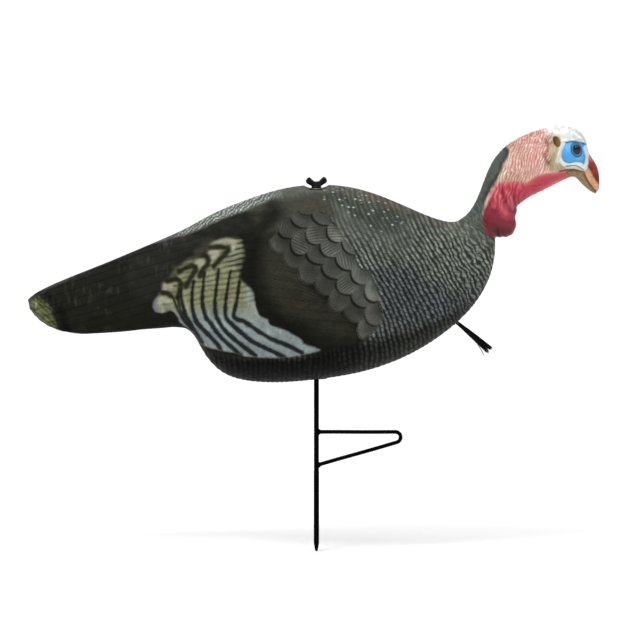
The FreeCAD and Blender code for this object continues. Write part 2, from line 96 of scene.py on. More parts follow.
def noise(x, y, seed=0):
    """Smooth noise from 0 to 1 with one bump to each unit."""
    i = np.floor(x)
    j = np.floor(y)
    u = smooth(0, 1, x - i)
    v = smooth(0, 1, y - j)
    low = mix(hashed(i, j, seed), hashed(i + 1, j, seed), u)
    high = mix(hashed(i, j + 1, seed), hashed(i + 1, j + 1, seed), u)
    return mix(low, high, v)


def ripple(x, y, seed=0, octaves=3):
    """Layered noise from about -1 to 1."""
    total = np.zeros_like(x)
    for octave in range(octaves):
        total += (noise(x * 2 ** octave, y * 2 ** octave, seed + octave) * 2 - 1) * 0.5 ** octave
    return total / 1.6


def linear(colour):
    """Screen colour, 0 to 255, to the linear light that shaders work in."""
    c = np.asarray(colour, float) / 255
    return np.where(c <= 0.04045, c / 12.92, ((c + 0.055) / 1.055) ** 2.4)


def rounded(points, closed, steps=3):
    """A smooth line through given points."""
    p = np.array(points, float)
    if closed:
        p = np.vstack([p[-1:], p, p[:2]])
    else:
        p = np.vstack([2 * p[0] - p[1], p, 2 * p[-1] - p[-2]])
    out = []
    for a, b, c, d in zip(p, p[1:], p[2:], p[3:]):
        for t in np.arange(steps) / steps:
            out.append(0.5 * (2 * b + (c - a) * t + (2 * a - 5 * b + 4 * c - d) * t * t
                              + (3 * b - a - 3 * c + d) * t ** 3))
    if not closed:
        out.append(p[-2])
    return np.array(out)


def area(*points):
    """The outline of an area on the side view."""
    return rounded(points, closed=True)


def line(*points):
    """An open line on the side view."""
    return rounded(points, closed=False)


def line_distance(drawn, x, z, closed=False):
    """Distance in millimetres to a line drawn on the side view."""
    ends = np.roll(drawn, -1, axis=0) if closed else drawn[1:]
    starts = drawn if closed else drawn[:-1]
    best = np.full(x.shape, 1e9)
    for (ax, az), (bx, bz) in zip(starts, ends):
        dx, dz = bx - ax, bz - az
        length = max(dx * dx + dz * dz, 1e-9)
        t = np.clip(((x - ax) * dx + (z - az) * dz) / length, 0, 1)
        best = np.minimum(best, np.hypot(x - ax - t * dx, z - az - t * dz))
    return best


def area_depth(outline, x, z):
    """Distance to an outline drawn on the side view, positive inside it."""
    inside = np.zeros(x.shape, bool)
    for (ax, az), (bx, bz) in zip(outline, np.roll(outline, -1, axis=0)):
        if az == bz:
            continue
        crosses = (az > z) != (bz > z)
        inside ^= crosses & (x < (bx - ax) * (z - az) / (bz - az) + ax)
    distance = line_distance(outline, x, z, closed=True)
    return np.where(inside, distance, -distance)


# ---------------------------------------------------------------- moulded skins
# The same cross-sections as the CAD model: (top x, top z, bottom x, bottom z, half width,
# form).  The form blends from TAIL (-1) through BODY (0) to ROUND (+1).

TAIL = ((0, 0), (0.02, 0.30), (0.22, 0.70), (0.60, 0.92), (1.02, 1.12), (0.95, 0.55), (0.86, 0))
BODY = ((0, 0), (0.0, 0.22), (0.13, 0.80), (0.50, 1.14), (0.90, 0.86), (1.0, 0.36), (1, 0))
ROUND = ((0, 0), (0, 0.265), (0.105, 0.774), (0.5, 1.113), (0.895, 0.774), (1, 0.265), (1, 0))

BODY_SECTIONS = (
    (-404, 241, -401, 229, 8, -1),
    (-397, 249, -390, 213, 26, -1),
    (-376, 260, -365, 197, 40, -1),
    (-338, 276, -324, 191, 46, -1),
    (-289, 295, -275, 195, 50, -1),
    (-240, 316, -226, 199, 56, -1),
    (-202, 332, -185, 202, 64, -0.8),
    (-177, 344, -170, 190, 76, -0.45),
    (-155, 357, -157, 160, 88, -0.2),
    (-128, 370, -132, 136, 99, 0),
    (-86, 386, -93, 126, 110, 0),
    (-37, 401, -44, 125, 117, 0),
    (19, 404, 12, 131, 118, 0),
    (68, 396, 68, 140, 114, 0),
    (117, 376, 124, 160, 104, 0),
    (156, 358, 173, 189, 90, 0),
    (182, 350, 215, 225, 70, 0.2),
    (194, 350, 240, 262, 48, 0.5),
    (199, 352, 251, 297, 34, 0.8),
    (202.4, 354.9, 250, 326.9, 27.6, 1),
)

HEAD_SECTIONS = (
    (202.4, 354.9, 250, 326.9, 27.6, 1),
    (211, 359.8, 255.6, 337.4, 26, 1),
    (222, 375.2, 264, 351.4, 24, 1),
    (231.8, 400.4, 273.8, 365.4, 22, 1),
    (241.6, 428.4, 285, 376.6, 21, 1),
    (255.6, 449.4, 299, 386.4, 21, 1),
    (275.2, 464.8, 314.4, 393.4, 21, 1),
    (299, 476, 329.8, 401.1, 21.5, 1),
    (322.8, 483, 345.2, 408.8, 22, 1),
    (346.6, 486.5, 356.4, 414.4, 22.5, 1),
    (367, 481.8, 363.4, 413, 21, 1),
    (378, 465, 369, 406, 17, 1),
    (379.6, 446.6, 376, 399, 11, 1),
    (389, 436.8, 383, 393.4, 8, 1),
    (397, 418.6, 390, 389.2, 6, 1),
    (395.6, 397.6, 391.4, 390.6, 3, 1),
)

# the neck joint: a plane square to an axis that leans from +Z towards +X
NECK_JOINT = np.array((226.2, 0, 340.9))
NECK_LEAN = math.radians(30.46)
NECK_AXIS = np.array((math.sin(NECK_LEAN), 0, math.cos(NECK_LEAN)))
NECK_GAP = 0.4
NECK_RADIUS = 27.6
COLLAR_RADIUS = 24.0
NECK_RIM = ((21.5, 0.0), (19.3, 0.6), (19.3, 6.0))  # (radius, depth) of the head's turned-in rim


def spline_weights(count, t):
    """Weight of each of count poles of an even clamped cubic, at each t from 0 to 1."""
    knots = np.concatenate([np.zeros(3), np.arange(count - 2), np.full(3, count - 3)]).astype(float)
    x = np.clip(np.asarray(t, float) * (count - 3), 0, count - 3 - 1e-9)
    weights = [((a <= x) & (x < b)).astype(float) for a, b in zip(knots, knots[1:])]
    for degree in (1, 2, 3):
        raised = []
        for i in range(len(weights) - 1):
            up = knots[i + degree] - knots[i]
            down = knots[i + degree + 1] - knots[i + 1]
            rising = (x - knots[i]) / up if up > 0 else 0
            falling = (knots[i + degree + 1] - x) / down if down > 0 else 0
            raised.append(rising * weights[i] + falling * weights[i + 1])
        weights = raised
    return np.array(weights)


def section_poles(section):
    top_x, top_z, low_x, low_z, half, form = section
    share = abs(form)
    other = ROUND if form > 0 else TAIL
    row = []
    for (down, out), (other_down, other_out) in zip(BODY, other):
        s = mix(down, other_down, share)
        row.append((mix(top_x, low_x, s), mix(out, other_out, share) * half, mix(top_z, low_z, s)))
    return row


def skin(sections, along, around):
    """Points of a moulded half's skin, one row for each place along it."""
    poles = np.array([section_poles(section) for section in sections])
    u = spline_weights(len(poles), along)
    v = spline_weights(poles.shape[1], around)
    return np.einsum("iu,jv,ijk->uvk", u, v, poles)


def evened(points, count):
    """Parameters that space count points evenly along a line."""
    length = running(np.linalg.norm(np.diff(points, axis=0), axis=1), 0)
    return np.interp(np.linspace(0, length[-1], count), length, np.linspace(0, 1, len(points)))


def grid_normals(grid):
    along = np.gradient(grid, axis=0)
    around = np.gradient(grid, axis=1)
    normal = np.cross(around, along)
    return normal / np.maximum(np.linalg.norm(normal, axis=2, keepdims=True), 1e-9)


# ---------------------------------------------------------------- mesh helpers

def new_object(name, vertices, faces, body):
    """A piece from millimetre vertices, riding on a CAD body."""
    mesh = bpy.data.meshes.new(name)
    mesh.from_pydata((np.asarray(vertices) * MM).tolist(), [], faces)
    mesh.validate()
    mesh.polygons.foreach_set("use_smooth", [True] * len(mesh.polygons))
    piece = bpy.data.objects.new(name, mesh)
    bpy.context.collection.objects.link(piece)
    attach(piece, body)
    return piece


def grid_faces(rows, columns, closed=False):
    """Quads between the points of a grid; closed joins its last column to its first."""
    last = columns if closed else columns - 1
    i, j = np.meshgrid(np.arange(rows - 1), np.arange(last), indexing="ij")
    a = i * columns + j
    b = i * columns + (j + 1) % columns
    return np.stack([a, a + columns, b + columns, b], axis=-1).reshape(-1, 4).tolist()


def set_number(mesh, name, values):
    mesh.attributes.new(name, "FLOAT", "POINT").data.foreach_set("value", np.ravel(values))


def set_colour(mesh, name, values):
    rgba = np.concatenate([values, np.ones(values.shape[:-1] + (1,))], axis=-1)
    mesh.attributes.new(name, "FLOAT_COLOR", "POINT").data.foreach_set("color", np.ravel(rgba))


# ---------------------------------------------------------------- feather relief

def feather_rows(phase, along, length, seed):
    """Ribs of short overlapping feathers: 1 on a crest, 0 in the grooves between rows."""
    row = np.floor(phase + 0.5)
    offset = hashed(row, row * 0, seed) * 7
    place = along / length + offset
    part = np.floor(place)
    inner = place - part
    shift = (hashed(row, part, seed + 1) - 0.5) * 0.22
    crest = np.clip(0.5 + 0.5 * np.cos(2 * np.pi * (phase - row + shift * np.sin(np.pi * inner))), 0, 1)
    notch = smooth(0, 0.16, inner) * smooth(1, 0.80, inner)
    strength = 0.75 + 0.25 * hashed(row, part, seed + 2)
    return crest ** 0.9 * mix(0.55, 1, notch) * strength


def scales(along, down, width, length, seed):
    """Overlapping rounded feathers that point down.

    Returns the depth inside the topmost feather's tip edge, the distance beyond the edge of the
    feather that lies over it, the feather's luck and its own middle."""
    depth = np.full(along.shape, 99.0)
    beyond = np.full(along.shape, 99.0)
    luck = np.zeros(along.shape)
    middle = np.zeros(along.shape + (2,))
    taken = np.zeros(along.shape, bool)
    first = int(np.floor(down.min() / length)) - 1
    last = int(np.ceil(down.max() / length)) + 2
    for j in range(first, last):
        shift = 0.5 * (j % 2) + 0.17 * math.sin(j * 2.3)
        local = along / width + shift
        i = np.round(local)
        jitter = hashed(i, np.full_like(i, j), seed) - 0.5
        side = (local - i) * width
        reach = 0.62 * width
        drop = reach * (1 - np.sqrt(np.clip(1 - (side / reach) ** 2, 0, 1)))
        edge = j * length + jitter * length * 0.34 - drop * (1.15 + 0.4 * jitter) + side * 0.3 * jitter
        covered = (down < edge) & ~taken
        depth = np.where(covered, edge - down, depth)
        luck = np.where(covered, jitter + 0.5, luck)
        own = np.stack([(i - shift) * width, np.full_like(i, (j - 0.55) * length)], axis=-1)
        middle = np.where(covered[..., None], own, middle)
        taken |= covered
        beyond = np.where(~taken, np.minimum(beyond, down - edge), beyond)
    return depth, beyond, luck, middle


# ---------------------------------------------------------------- where the paint goes
# Areas and lines on the side view as (x, z), for the spray and the strokes further down.

BARRED = area(
    (-107, 326), (-127, 328), (-150, 318), (-153, 308), (-159, 300), (-177, 300), (-198, 283),
    (-205, 273), (-215, 265), (-216, 253), (-228, 237), (-225, 225), (-215, 223), (-202, 226),
    (-194, 218), (-190, 209), (-181, 203), (-174, 196), (-167, 183), (-145, 173), (-114, 167), (-97, 162),
    (-51, 160), (-17, 165), (5, 171), (-17, 179), (-21, 185), (-39, 196), (-55, 202), (-66, 207),
    (-68, 214), (-78, 218), (-85, 232), (-89, 253), (-104, 267), (-107, 276), (-101, 301), (-104, 322),
)
STRIPES = (
    line((-189, 253), (-188, 241), (-185, 228), (-181, 217), (-160, 181)),
    line((-171, 267), (-173, 252), (-173, 230), (-168, 212), (-162, 204), (-138, 179), (-133, 169)),
    line((-156, 279), (-159, 238), (-154, 217), (-148, 209), (-132, 188), (-106, 164)),
    line((-136, 284), (-141, 241), (-139, 217), (-127, 198), (-118, 189), (-85, 163)),
    line((-119, 281), (-122, 267), (-127, 228), (-122, 211), (-96, 188), (-85, 181), (-45, 161)),
    line(
        (-103, 281), (-107, 266), (-111, 238), (-114, 227), (-115, 218), (-110, 214), (-101, 211),
        (-85, 200), (-62, 186), (-41, 178), (-20, 167),
    ),
)
RIM_LINES = (
    line((-201, 246), (-189, 218), (-174, 199)),
    line((-193, 245), (-190, 228), (-185, 216), (-178, 205)),
)
HOOKS = (
    line((-148, 314), (-138, 315), (-129, 314), (-123, 312), (-128, 304), (-143, 288)),
    line((-154, 302), (-150, 297), (-152, 290), (-158, 283), (-162, 274)),
    line((-191, 281), (-181, 286), (-173, 288), (-169, 286), (-171, 279), (-182, 260)),
    line((-208, 267), (-201, 269), (-193, 269), (-189, 262), (-194, 244)),
    line((-214, 251), (-208, 250), (-203, 247)),
)
GLINTS = (
    line((-145, 320), (-135, 323), (-124, 324), (-115, 321), (-117, 312)),
    line((-146, 307), (-139, 307), (-143, 300)),
    line((-166, 293), (-159, 294), (-163, 286)),
    line((-212, 256), (-210, 262), (-204, 260)),
    line((-220, 237), (-215, 241), (-206, 239)),
)
SMUDGE = area((-103, 302), (-94, 294), (-93, 283), (-97, 272), (-106, 276), (-113, 291))
RUMP_SPOT = ((-166, 305), (-157, 314), (-146, 325))
REAR_DARK = area(
    (-118, 363), (-76, 375), (-23, 361), (19, 325), (55, 283), (81, 241), (75, 193), (50, 176), (5, 167),
    (-93, 157), (-166, 171), (-187, 199), (-247, 199), (-289, 241), (-233, 300), (-177, 330),
)
TAIL_ZONE = area(
    (-432, 224), (-418, 263), (-359, 300), (-275, 330), (-212, 356), (-170, 336), (-194, 294),
    (-219, 262), (-233, 234), (-212, 216), (-177, 199), (-177, 171), (-303, 171), (-393, 178),
)
TAIL_TIP = area(
    (-415, 238), (-405, 241), (-395, 246), (-388, 244), (-384, 239), (-370, 229), (-370, 220),
    (-362, 204), (-365, 193), (-376, 195), (-393, 206), (-407, 224),
)
TAIL_BAND = line((-383, 255), (-372, 247), (-357, 228), (-349, 199))
TAIL_RIM = line((-387, 252), (-359, 267), (-240, 320))
RUMP = area(
    (-261, 294), (-212, 321), (-177, 337), (-149, 354), (-85, 382), (-62, 384), (-51, 361), (-62, 342),
    (-82, 325), (-99, 336), (-124, 328), (-152, 319), (-177, 297), (-212, 263), (-233, 238), (-258, 252),
)
# The pale rim of painted highlight along the top of the back.
BACK_EDGE = area(
    (-309, 288), (-275, 301), (-240, 315), (-206, 328), (-177, 336), (-156, 344), (-135, 354),
    (-107, 365), (-85, 374), (-62, 381), (-37, 386), (-15, 391), (40, 395), (40, 420), (-51, 420),
    (-107, 409), (-177, 374), (-247, 336), (-309, 308),
)
UPPER_BACK = area(
    (-3, 391), (40, 409), (103, 395), (145, 377), (162, 364), (142, 357), (123, 347), (111, 335),
    (83, 337), (53, 356), (36, 370), (2, 381),
)
MANTLE = area(
    (-90, 372), (-76, 379), (-51, 386), (-3, 392), (15, 389), (23, 372), (25, 361), (11, 349), (-37, 336),
    (-57, 328), (-76, 336), (-90, 353),
)
# A lighter strip of painted highlight along the top of the back towards the neck.
TOP_EDGE = area((33, 412), (117, 384), (173, 361), (184, 342), (117, 363), (40, 389))
COVERTS = area(
    (-37, 360), (20, 368), (27, 349), (37, 330), (65, 291), (76, 279), (88, 239), (90, 218), (85, 203),
    (71, 193), (57, 193), (30, 223), (5, 245), (-22, 269), (-33, 294), (-55, 318), (-51, 346),
)
COVERT_REACH = area(
    (-43, 363), (20, 368), (27, 349), (37, 330), (65, 291), (76, 279), (89, 239), (92, 218), (86, 202),
    (71, 190), (50, 182), (19, 202), (-23, 232), (-57, 269), (-76, 308), (-65, 344),
)
COVERTS_LIGHT = area((26, 336), (40, 325), (78, 276), (86, 241), (61, 241), (40, 269), (19, 304))
COVERT_DARK = line((-45, 330), (-26, 294), (-1, 255), (40, 210))
SECONDARIES = area(
    (-76, 332), (-51, 332), (-33, 294), (-22, 269), (30, 223), (57, 193), (40, 176), (12, 178),
    (-23, 199), (-58, 220), (-76, 241), (-86, 283),
)
# The band of painted shade round the folded wing's rear and lower edge.
DARK_BAND = line(
    (-57, 364), (-73, 344), (-85, 318), (-87, 290), (-82, 255), (-65, 224), (-30, 203), (2, 185),
    (40, 171),
)
WING_FRONT = line(
    (20, 368), (37, 330), (51, 312), (65, 291), (76, 279), (88, 239), (90, 218), (85, 203), (71, 193),
    (57, 193),
)
BELLY = area(
    (-170, 182), (-145, 171), (-97, 161), (-33, 160), (5, 168), (40, 179), (75, 183), (117, 195),
    (159, 210), (187, 224), (215, 235), (264, 246), (243, 73), (-177, 73),
)
LOW_BREAST = area(
    (78, 276), (117, 290), (173, 255), (215, 255), (243, 269), (229, 206), (159, 181), (103, 171),
    (68, 178), (89, 206), (92, 227),
)

BREAST_COLOUR = (83, 88, 81)


def tint(colour, paint, share):
    """Lay a paint over the colour, thicker where its share is nearer 1."""
    colour[:] = mix(colour, linear(paint), share[..., None])


def spray(colour, x, z, outline, paint, soft, wobble=0):
    """Airbrush an area: soft is how far, in millimetres, the spray fades over its outline."""
    share = smooth(-soft, soft, area_depth(outline, x, z) + wobble)
    tint(colour, paint, share)
    return share


def stroke(colour, x, z, drawn, paint, half, soft, strength=1.0):
    """Airbrush a band either side of a line."""
    share = smooth(half + soft, max(half - soft, 0), line_distance(drawn, x, z)) * strength
    tint(colour, paint, share)
    return share


def barred_patch(x, z, fine, wander):
    """The barred flight feathers, painted olive above and bluish white below.

    Returns their paint, the patch's share and the distance to a dark stripe's edge, negative on
    the stripe."""
    inside = area_depth(BARRED, x, z) + 0.5 * fine
    patch_edge = mix(1.6, 3.4, smooth(228, 262, z))
    barred = smooth(-patch_edge, patch_edge, inside)
    pale = mix(linear((127, 130, 99)), linear((134, 145, 144)), smooth(240, 208, z)[..., None])
    tint(pale, (136, 141, 130), smooth(-104, -92, x) * smooth(205, 232, z))
    upper_right = smooth(-100, -118, x) * smooth(-128, -110, x) * smooth(272, 296, z)
    tint(pale, (158, 158, 134), upper_right * 0.6)
    pale = pale * (1 + 0.26 * fine + 0.18 * wander / 3)[..., None]
    bar_row = (z - 0.16 * x + 5 * ripple(x / 30, z / 30, 77, 2)) / 7.2
    bar_line = smooth(0.34, 0.06, np.abs(bar_row - np.floor(bar_row) - 0.5))
    right_bars = smooth(-132, -112, x) * smooth(272, 282, z)
    bar_strength = smooth(226, 246, z) * mix(0.42 + 0.25 * ripple(x / 12, z / 12, 78, 2), 0.86, right_bars)
    pale = pale * (1 - np.clip(bar_strength, 0, 1) * bar_line)[..., None]
    # painted sheen: lighter streaks along the barred feathers
    feather_sheen = smooth(0.1, 0.6, ripple(x / 5, z / 34, 79, 2))
    pale = pale * (0.92 + 0.24 * feather_sheen)[..., None]
    mottle = smooth(12, 1, inside + 4 * ripple(x / 8, z / 8, 80, 2))
    mottle = mottle * smooth(240, 262, z) * smooth(-104, -120, x)
    tint(pale, (58, 57, 42), mottle * 0.75)
    for drawn in GLINTS:
        near = line_distance(drawn, x, z)
        tint(pale, (172, 172, 152), smooth(6.5, 1.0, near) * 0.6)
    corner = smooth(-216, -228, x) * smooth(262, 240, z)
    tint(pale, (92, 92, 122), corner * 0.7)
    smudge = smooth(-4, 5, area_depth(SMUDGE, x, z))
    tint(pale, (30, 38, 40), smudge * (0.45 + 0.5 * bar_line))
    for drawn in HOOKS:
        near = line_distance(drawn, x, z) + 1.5 * ripple(x / 7, z / 7, 6, 2)
        tint(pale, (27, 26, 16), smooth(6.2, 1.6, near) * 0.95)
    for drawn in RIM_LINES:
        near = line_distance(drawn, x, z) + 0.5 * ripple(x / 6, z / 6, 6, 2)
        tint(pale, (24, 28, 24), smooth(2.9, 1.0, near) * 0.9)
    marks = np.full(x.shape, 60.0)
    for drawn in STRIPES:
        half = mix(3.5, 2.5, smooth(212, 262, z)) + 0.8 * ripple(x / 9, z / 7, 5, 2)
        half = half * smooth(295, 276, z)
        marks = np.minimum(marks, line_distance(drawn, x, z) - half)
    marks = np.maximum(marks, -inside * 0.8 - 0.6)
    return pale, barred, marks


def split(phase):
    """The place from 0 to 1 inside each long feather that a phase counts."""
    return phase - np.floor(phase)


def feather_fields(x, z, across, down, seed):
    """How each kind of feather runs over the body.

    x, z is the side view; across and down are the same measured along the skin."""
    f = SimpleNamespace()
    f.wander = ripple(across / 26, down / 26, seed + 3) * 3
    f.fine = ripple(across / 5, down / 5, seed + 9)
    f.drift = ripple(x / 42, z / 42, seed + 21, 2)
    f.front = smooth(140, 214, x)

    # breast and belly: ribs of short feathers that stand up at the belly and lean on the breast,
    # breaking into cells towards the neck and the front
    table = np.linspace(60, 480, 211)
    slope = np.interp(table, [90, 150, 200, 240, 300, 345, 385, 420],
                      [0, 0.03, 0.28, 0.50, 0.58, 0.52, 0.30, 0.2])
    lean_sum = np.interp(z, table, running((slope[1:] + slope[:-1]) / 2 * (table[1] - table[0]), 0))
    cells = ripple(x / 8, z / 10, seed + 23, 2)
    f.rib_phase = (x + lean_sum) / 7.1 + 0.50 * f.drift + (0.10 + 0.55 * f.front) * cells
    f.rib_along = (z * (1 + 0.4 * np.interp(z, table, slope)) + x * 0.2) / 9.5
    f.ribs = feather_rows(f.rib_phase, f.rib_along, 1, seed + 31)

    # rump and top edge: short serrated ribs that run down and back
    f.rump_phase = (x - 0.95 * z) / 5.6 + 0.35 * f.drift + 0.85 * cells
    f.rump_along = (z + 0.9 * x) / 6
    f.rump_ribs = feather_rows(f.rump_phase, f.rump_along, 1, seed + 41)

    # tail: long feathers that lie along it
    f.step = split((down - 0.29 * across + 6 * ripple(across / 120, down / 60, seed + 51, 1)) / 12.5)
    f.tail_edge = smooth(0.0, 0.10, f.step) * smooth(1.0, 0.93, f.step)

    # wing coverts: whole rounded feathers in staggered rows that point down and back
    c, s = math.cos(math.radians(44)), math.sin(math.radians(44))
    f.row_along = x * c - z * s + 1.6 * ripple(x / 15, z / 15, seed + 60, 2)
    f.row_down = -x * s - z * c + 2.0 * f.drift
    f.depth, f.beyond, f.luck, own = scales(f.row_along, f.row_down, 28.5, 22.5, seed + 61)
    own_x = own[..., 0] * c - own[..., 1] * s
    own_z = -own[..., 0] * s - own[..., 1] * c
    reach = smooth(-2.5, 2.5, area_depth(COVERT_REACH, x, z))
    f.coverts = (area_depth(COVERTS, own_x, own_z) > -3) * reach

    # secondaries: a few long feathers with level edges
    level = split((down + 0.10 * across + 4 * ripple(across / 70, down / 40, seed + 71, 1)) / 13)
    f.level_edge = smooth(0, 0.12, level) * smooth(1.0, 0.95, level)
    return f


def paint_body(colour, x, z, f, seed):
    """Spray the body's areas, and share its skin out between the kinds of feather."""
    wander = f.wander
    spray(colour, x, z, LOW_BREAST, (68, 72, 72), 12, wander)
    belly = spray(colour, x, z, BELLY, (36, 38, 33), 9, wander)
    tint(colour, (5, 6, 5), belly * smooth(130, 10, x) * 0.94)
    rear = spray(colour, x, z, REAR_DARK, (26, 26, 20), 5, wander)
    tail = spray(colour, x, z, TAIL_ZONE, (26, 26, 20), 7, wander)
    rump = spray(colour, x, z, RUMP, (34, 35, 30), 7, wander)
    edge = smooth(-3.5, 3.5, area_depth(BACK_EDGE, x, z) + wander) * smooth(-285, -165, x)
    upper = spray(colour, x, z, UPPER_BACK, (63, 69, 62), 6, wander)
    mantle = spray(colour, x, z, MANTLE, (62, 62, 54), 9, wander * 2)
    # painted highlight: the front of the pale rim along the top of the back, where the top edge catches the
    # light
    front_rim_highlight = edge * smooth(-70, -30, x)
    tint(colour, (88, 88, 79), front_rim_highlight * 0.8)
    mantle = np.maximum(mantle, front_rim_highlight)
    # painted highlight: the rear of the same rim, a brighter silvery strip
    tint(colour, (118, 124, 118), edge * smooth(-40, -72, x))
    # painted highlight: a lighter strip along the top of the back towards the neck, where the top faces the
    # light
    spray(colour, x, z, TOP_EDGE, (84, 82, 73), 7, wander)
    hollow = spray(colour, x, z, SECONDARIES, (47, 47, 39), 4, wander)
    tint(colour, (70, 71, 65), f.coverts)
    colour[:] = colour * (1 + 0.28 * f.front * smooth(262, 296, z))[..., None]
    light = colour.copy()
    spray(light, x, z, COVERTS_LIGHT, (92, 96, 89), 14)
    stroke(light, x, z, COVERT_DARK, (38, 36, 33), 9, 14, 0.6)
    colour[:] = mix(colour, light, f.coverts[..., None])
    tip = spray(colour, x, z, TAIL_TIP, (94, 99, 66), 3, wander * 0.6)
    stroke(colour, x, z, TAIL_BAND, (13, 13, 13), 6, 5, 0.95)
    # painted highlight: a broken pale line along the tail's top edge, where it catches the light
    tail_rim_highlight = 0.35 + 0.4 * ripple(x / 14, z / 14, seed + 84, 2)
    stroke(colour, x, z, TAIL_RIM, (92, 94, 82), 1.0, 4.5, tail_rim_highlight)
    # painted shade: a wide dark band round the rear and lower edge of the folded wing, where it overhangs the
    # flank
    stroke(colour, x, z, DARK_BAND, (18, 19, 14), 14, 14, 0.85)
    stroke(colour, x, z, RUMP_SPOT, (66, 63, 55), 3.5, 7, 0.8)
    patch_paint, barred, marks = barred_patch(x, z, f.fine, wander)
    colour[:] = mix(colour, patch_paint, barred[..., None])

    shoulder = smooth(348, 366, z + 0.25 * (x - 20) + 4 * f.drift)
    wing = f.coverts * (1 - shoulder)
    hollow = np.clip(hollow + rear * (1 - tail) * (1 - rump), 0, 1) * (1 - wing)
    patch = barred * (1 - wing)
    tail = tail * (1 - patch) * (1 - edge)
    # the silvery rim of painted highlight, where the serrated ribs show strongest
    rim_highlight_zone = edge * smooth(-40, -72, x) * (1 - wing)
    rump = rump * (1 - patch) * (1 - wing) * (1 - tail) * (1 - rim_highlight_zone)
    plain = np.clip(upper + mantle + f.coverts * shoulder, 0, 1)
    plain = plain * (1 - rump) * (1 - wing) * (1 - rim_highlight_zone)
    hollow = hollow * (1 - patch) * (1 - rim_highlight_zone) * (1 - plain)
    breast = np.clip(1 - wing - hollow - patch - tail - rump - plain - rim_highlight_zone, 0, 1)
    return SimpleNamespace(
        wing=wing, hollow=hollow, patch=patch, tail=tail, rim_highlight_zone=rim_highlight_zone, rump=rump, plain=plain,
        breast=breast, tip=tip, upper=upper, marks=marks,
    )


def body_relief(x, z, f, zone, seed):
    """How far each point of the skin stands up, in millimetres."""
    wing_line = line_distance(WING_FRONT, x, z)
    relief = zone.breast * (f.ribs - 0.4) * 0.55
    relief += zone.plain * (f.ribs - 0.4) * 0.10
    relief += (zone.rump * 0.3 + zone.rim_highlight_zone * 0.7) * (f.rump_ribs - 0.4)
    relief += zone.tail * ((f.step - 0.5) * 0.7 - (1 - f.tail_edge) * 0.25)
    relief += zone.wing * (0.8 * ring_at(f.depth, 3.5, 4.5) - 1.2 * smooth(1.8, 0, f.depth))
    relief += zone.hollow * (0.25 * f.fine + 0.5 * ripple(x / 30, z / 8, seed + 73, 2))
    relief += zone.patch * 0.15 * f.fine
    relief += 0.9 * zone.wing * smooth(10, 1, wing_line)
    relief -= 0.4 * (1 - zone.wing) * smooth(4, 0, wing_line)
    return relief + 0.2 * f.fine * (zone.breast + 0.3 * zone.plain)


def body_gain(x, z, across, down, f, zone, seed):
    """How much lighter or darker than its spray each point is."""
    smears = ripple(x / 26, z / 8, seed + 74)
    flecks = smooth(0.0, 0.6, ripple(x / 2.6, z / 11, seed + 85, 2))
    flecks = flecks * smooth(-0.1, 0.4, ripple(x / 34, z / 15, seed + 86, 2))
    gain = zone.breast + zone.plain * (0.98 + 0.22 * f.fine + 0.10 * smears) + zone.rim_highlight_zone + zone.patch
    gain += zone.rump * (0.80 + 0.45 * ripple(x / 16, z / 9, seed + 75))
    gain += zone.tail * (0.66 + 0.30 * f.tail_edge * (0.6 + 0.4 * f.step) + 0.22 * smears + 1.5 * flecks)
    # painted shadow: each covert is darker where it runs under the feather above it and lighter towards its
    # own tip
    scale_shade = mix(1.28, 0.60, smooth(3, 23, f.depth)) * (0.68 + 0.52 * f.luck)
    gain += zone.wing * scale_shade * (1.08 + 0.2 * f.fine)
    gain += zone.hollow * (0.86 + 0.26 * smears + 0.14 * f.fine) * (0.58 + 0.42 * f.level_edge)
    tip_lines = np.sin(2 * math.pi * (z + 0.9 * x) / 7.04 + 2.2 * f.fine)
    tip_rim = smooth(9, 1, area_depth(TAIL_TIP, x, z) + 3 * f.fine)
    tip_gain = 0.30 * tip_lines + 0.55 * ripple(x / 9, z / 4, 83) - 0.45 * tip_rim
    blotch = 1 + 0.16 * ripple(across / 18, down / 18, seed + 81)
    return 0.84 * np.maximum(gain * (1 + zone.tip * tip_gain), 0.1) * blotch


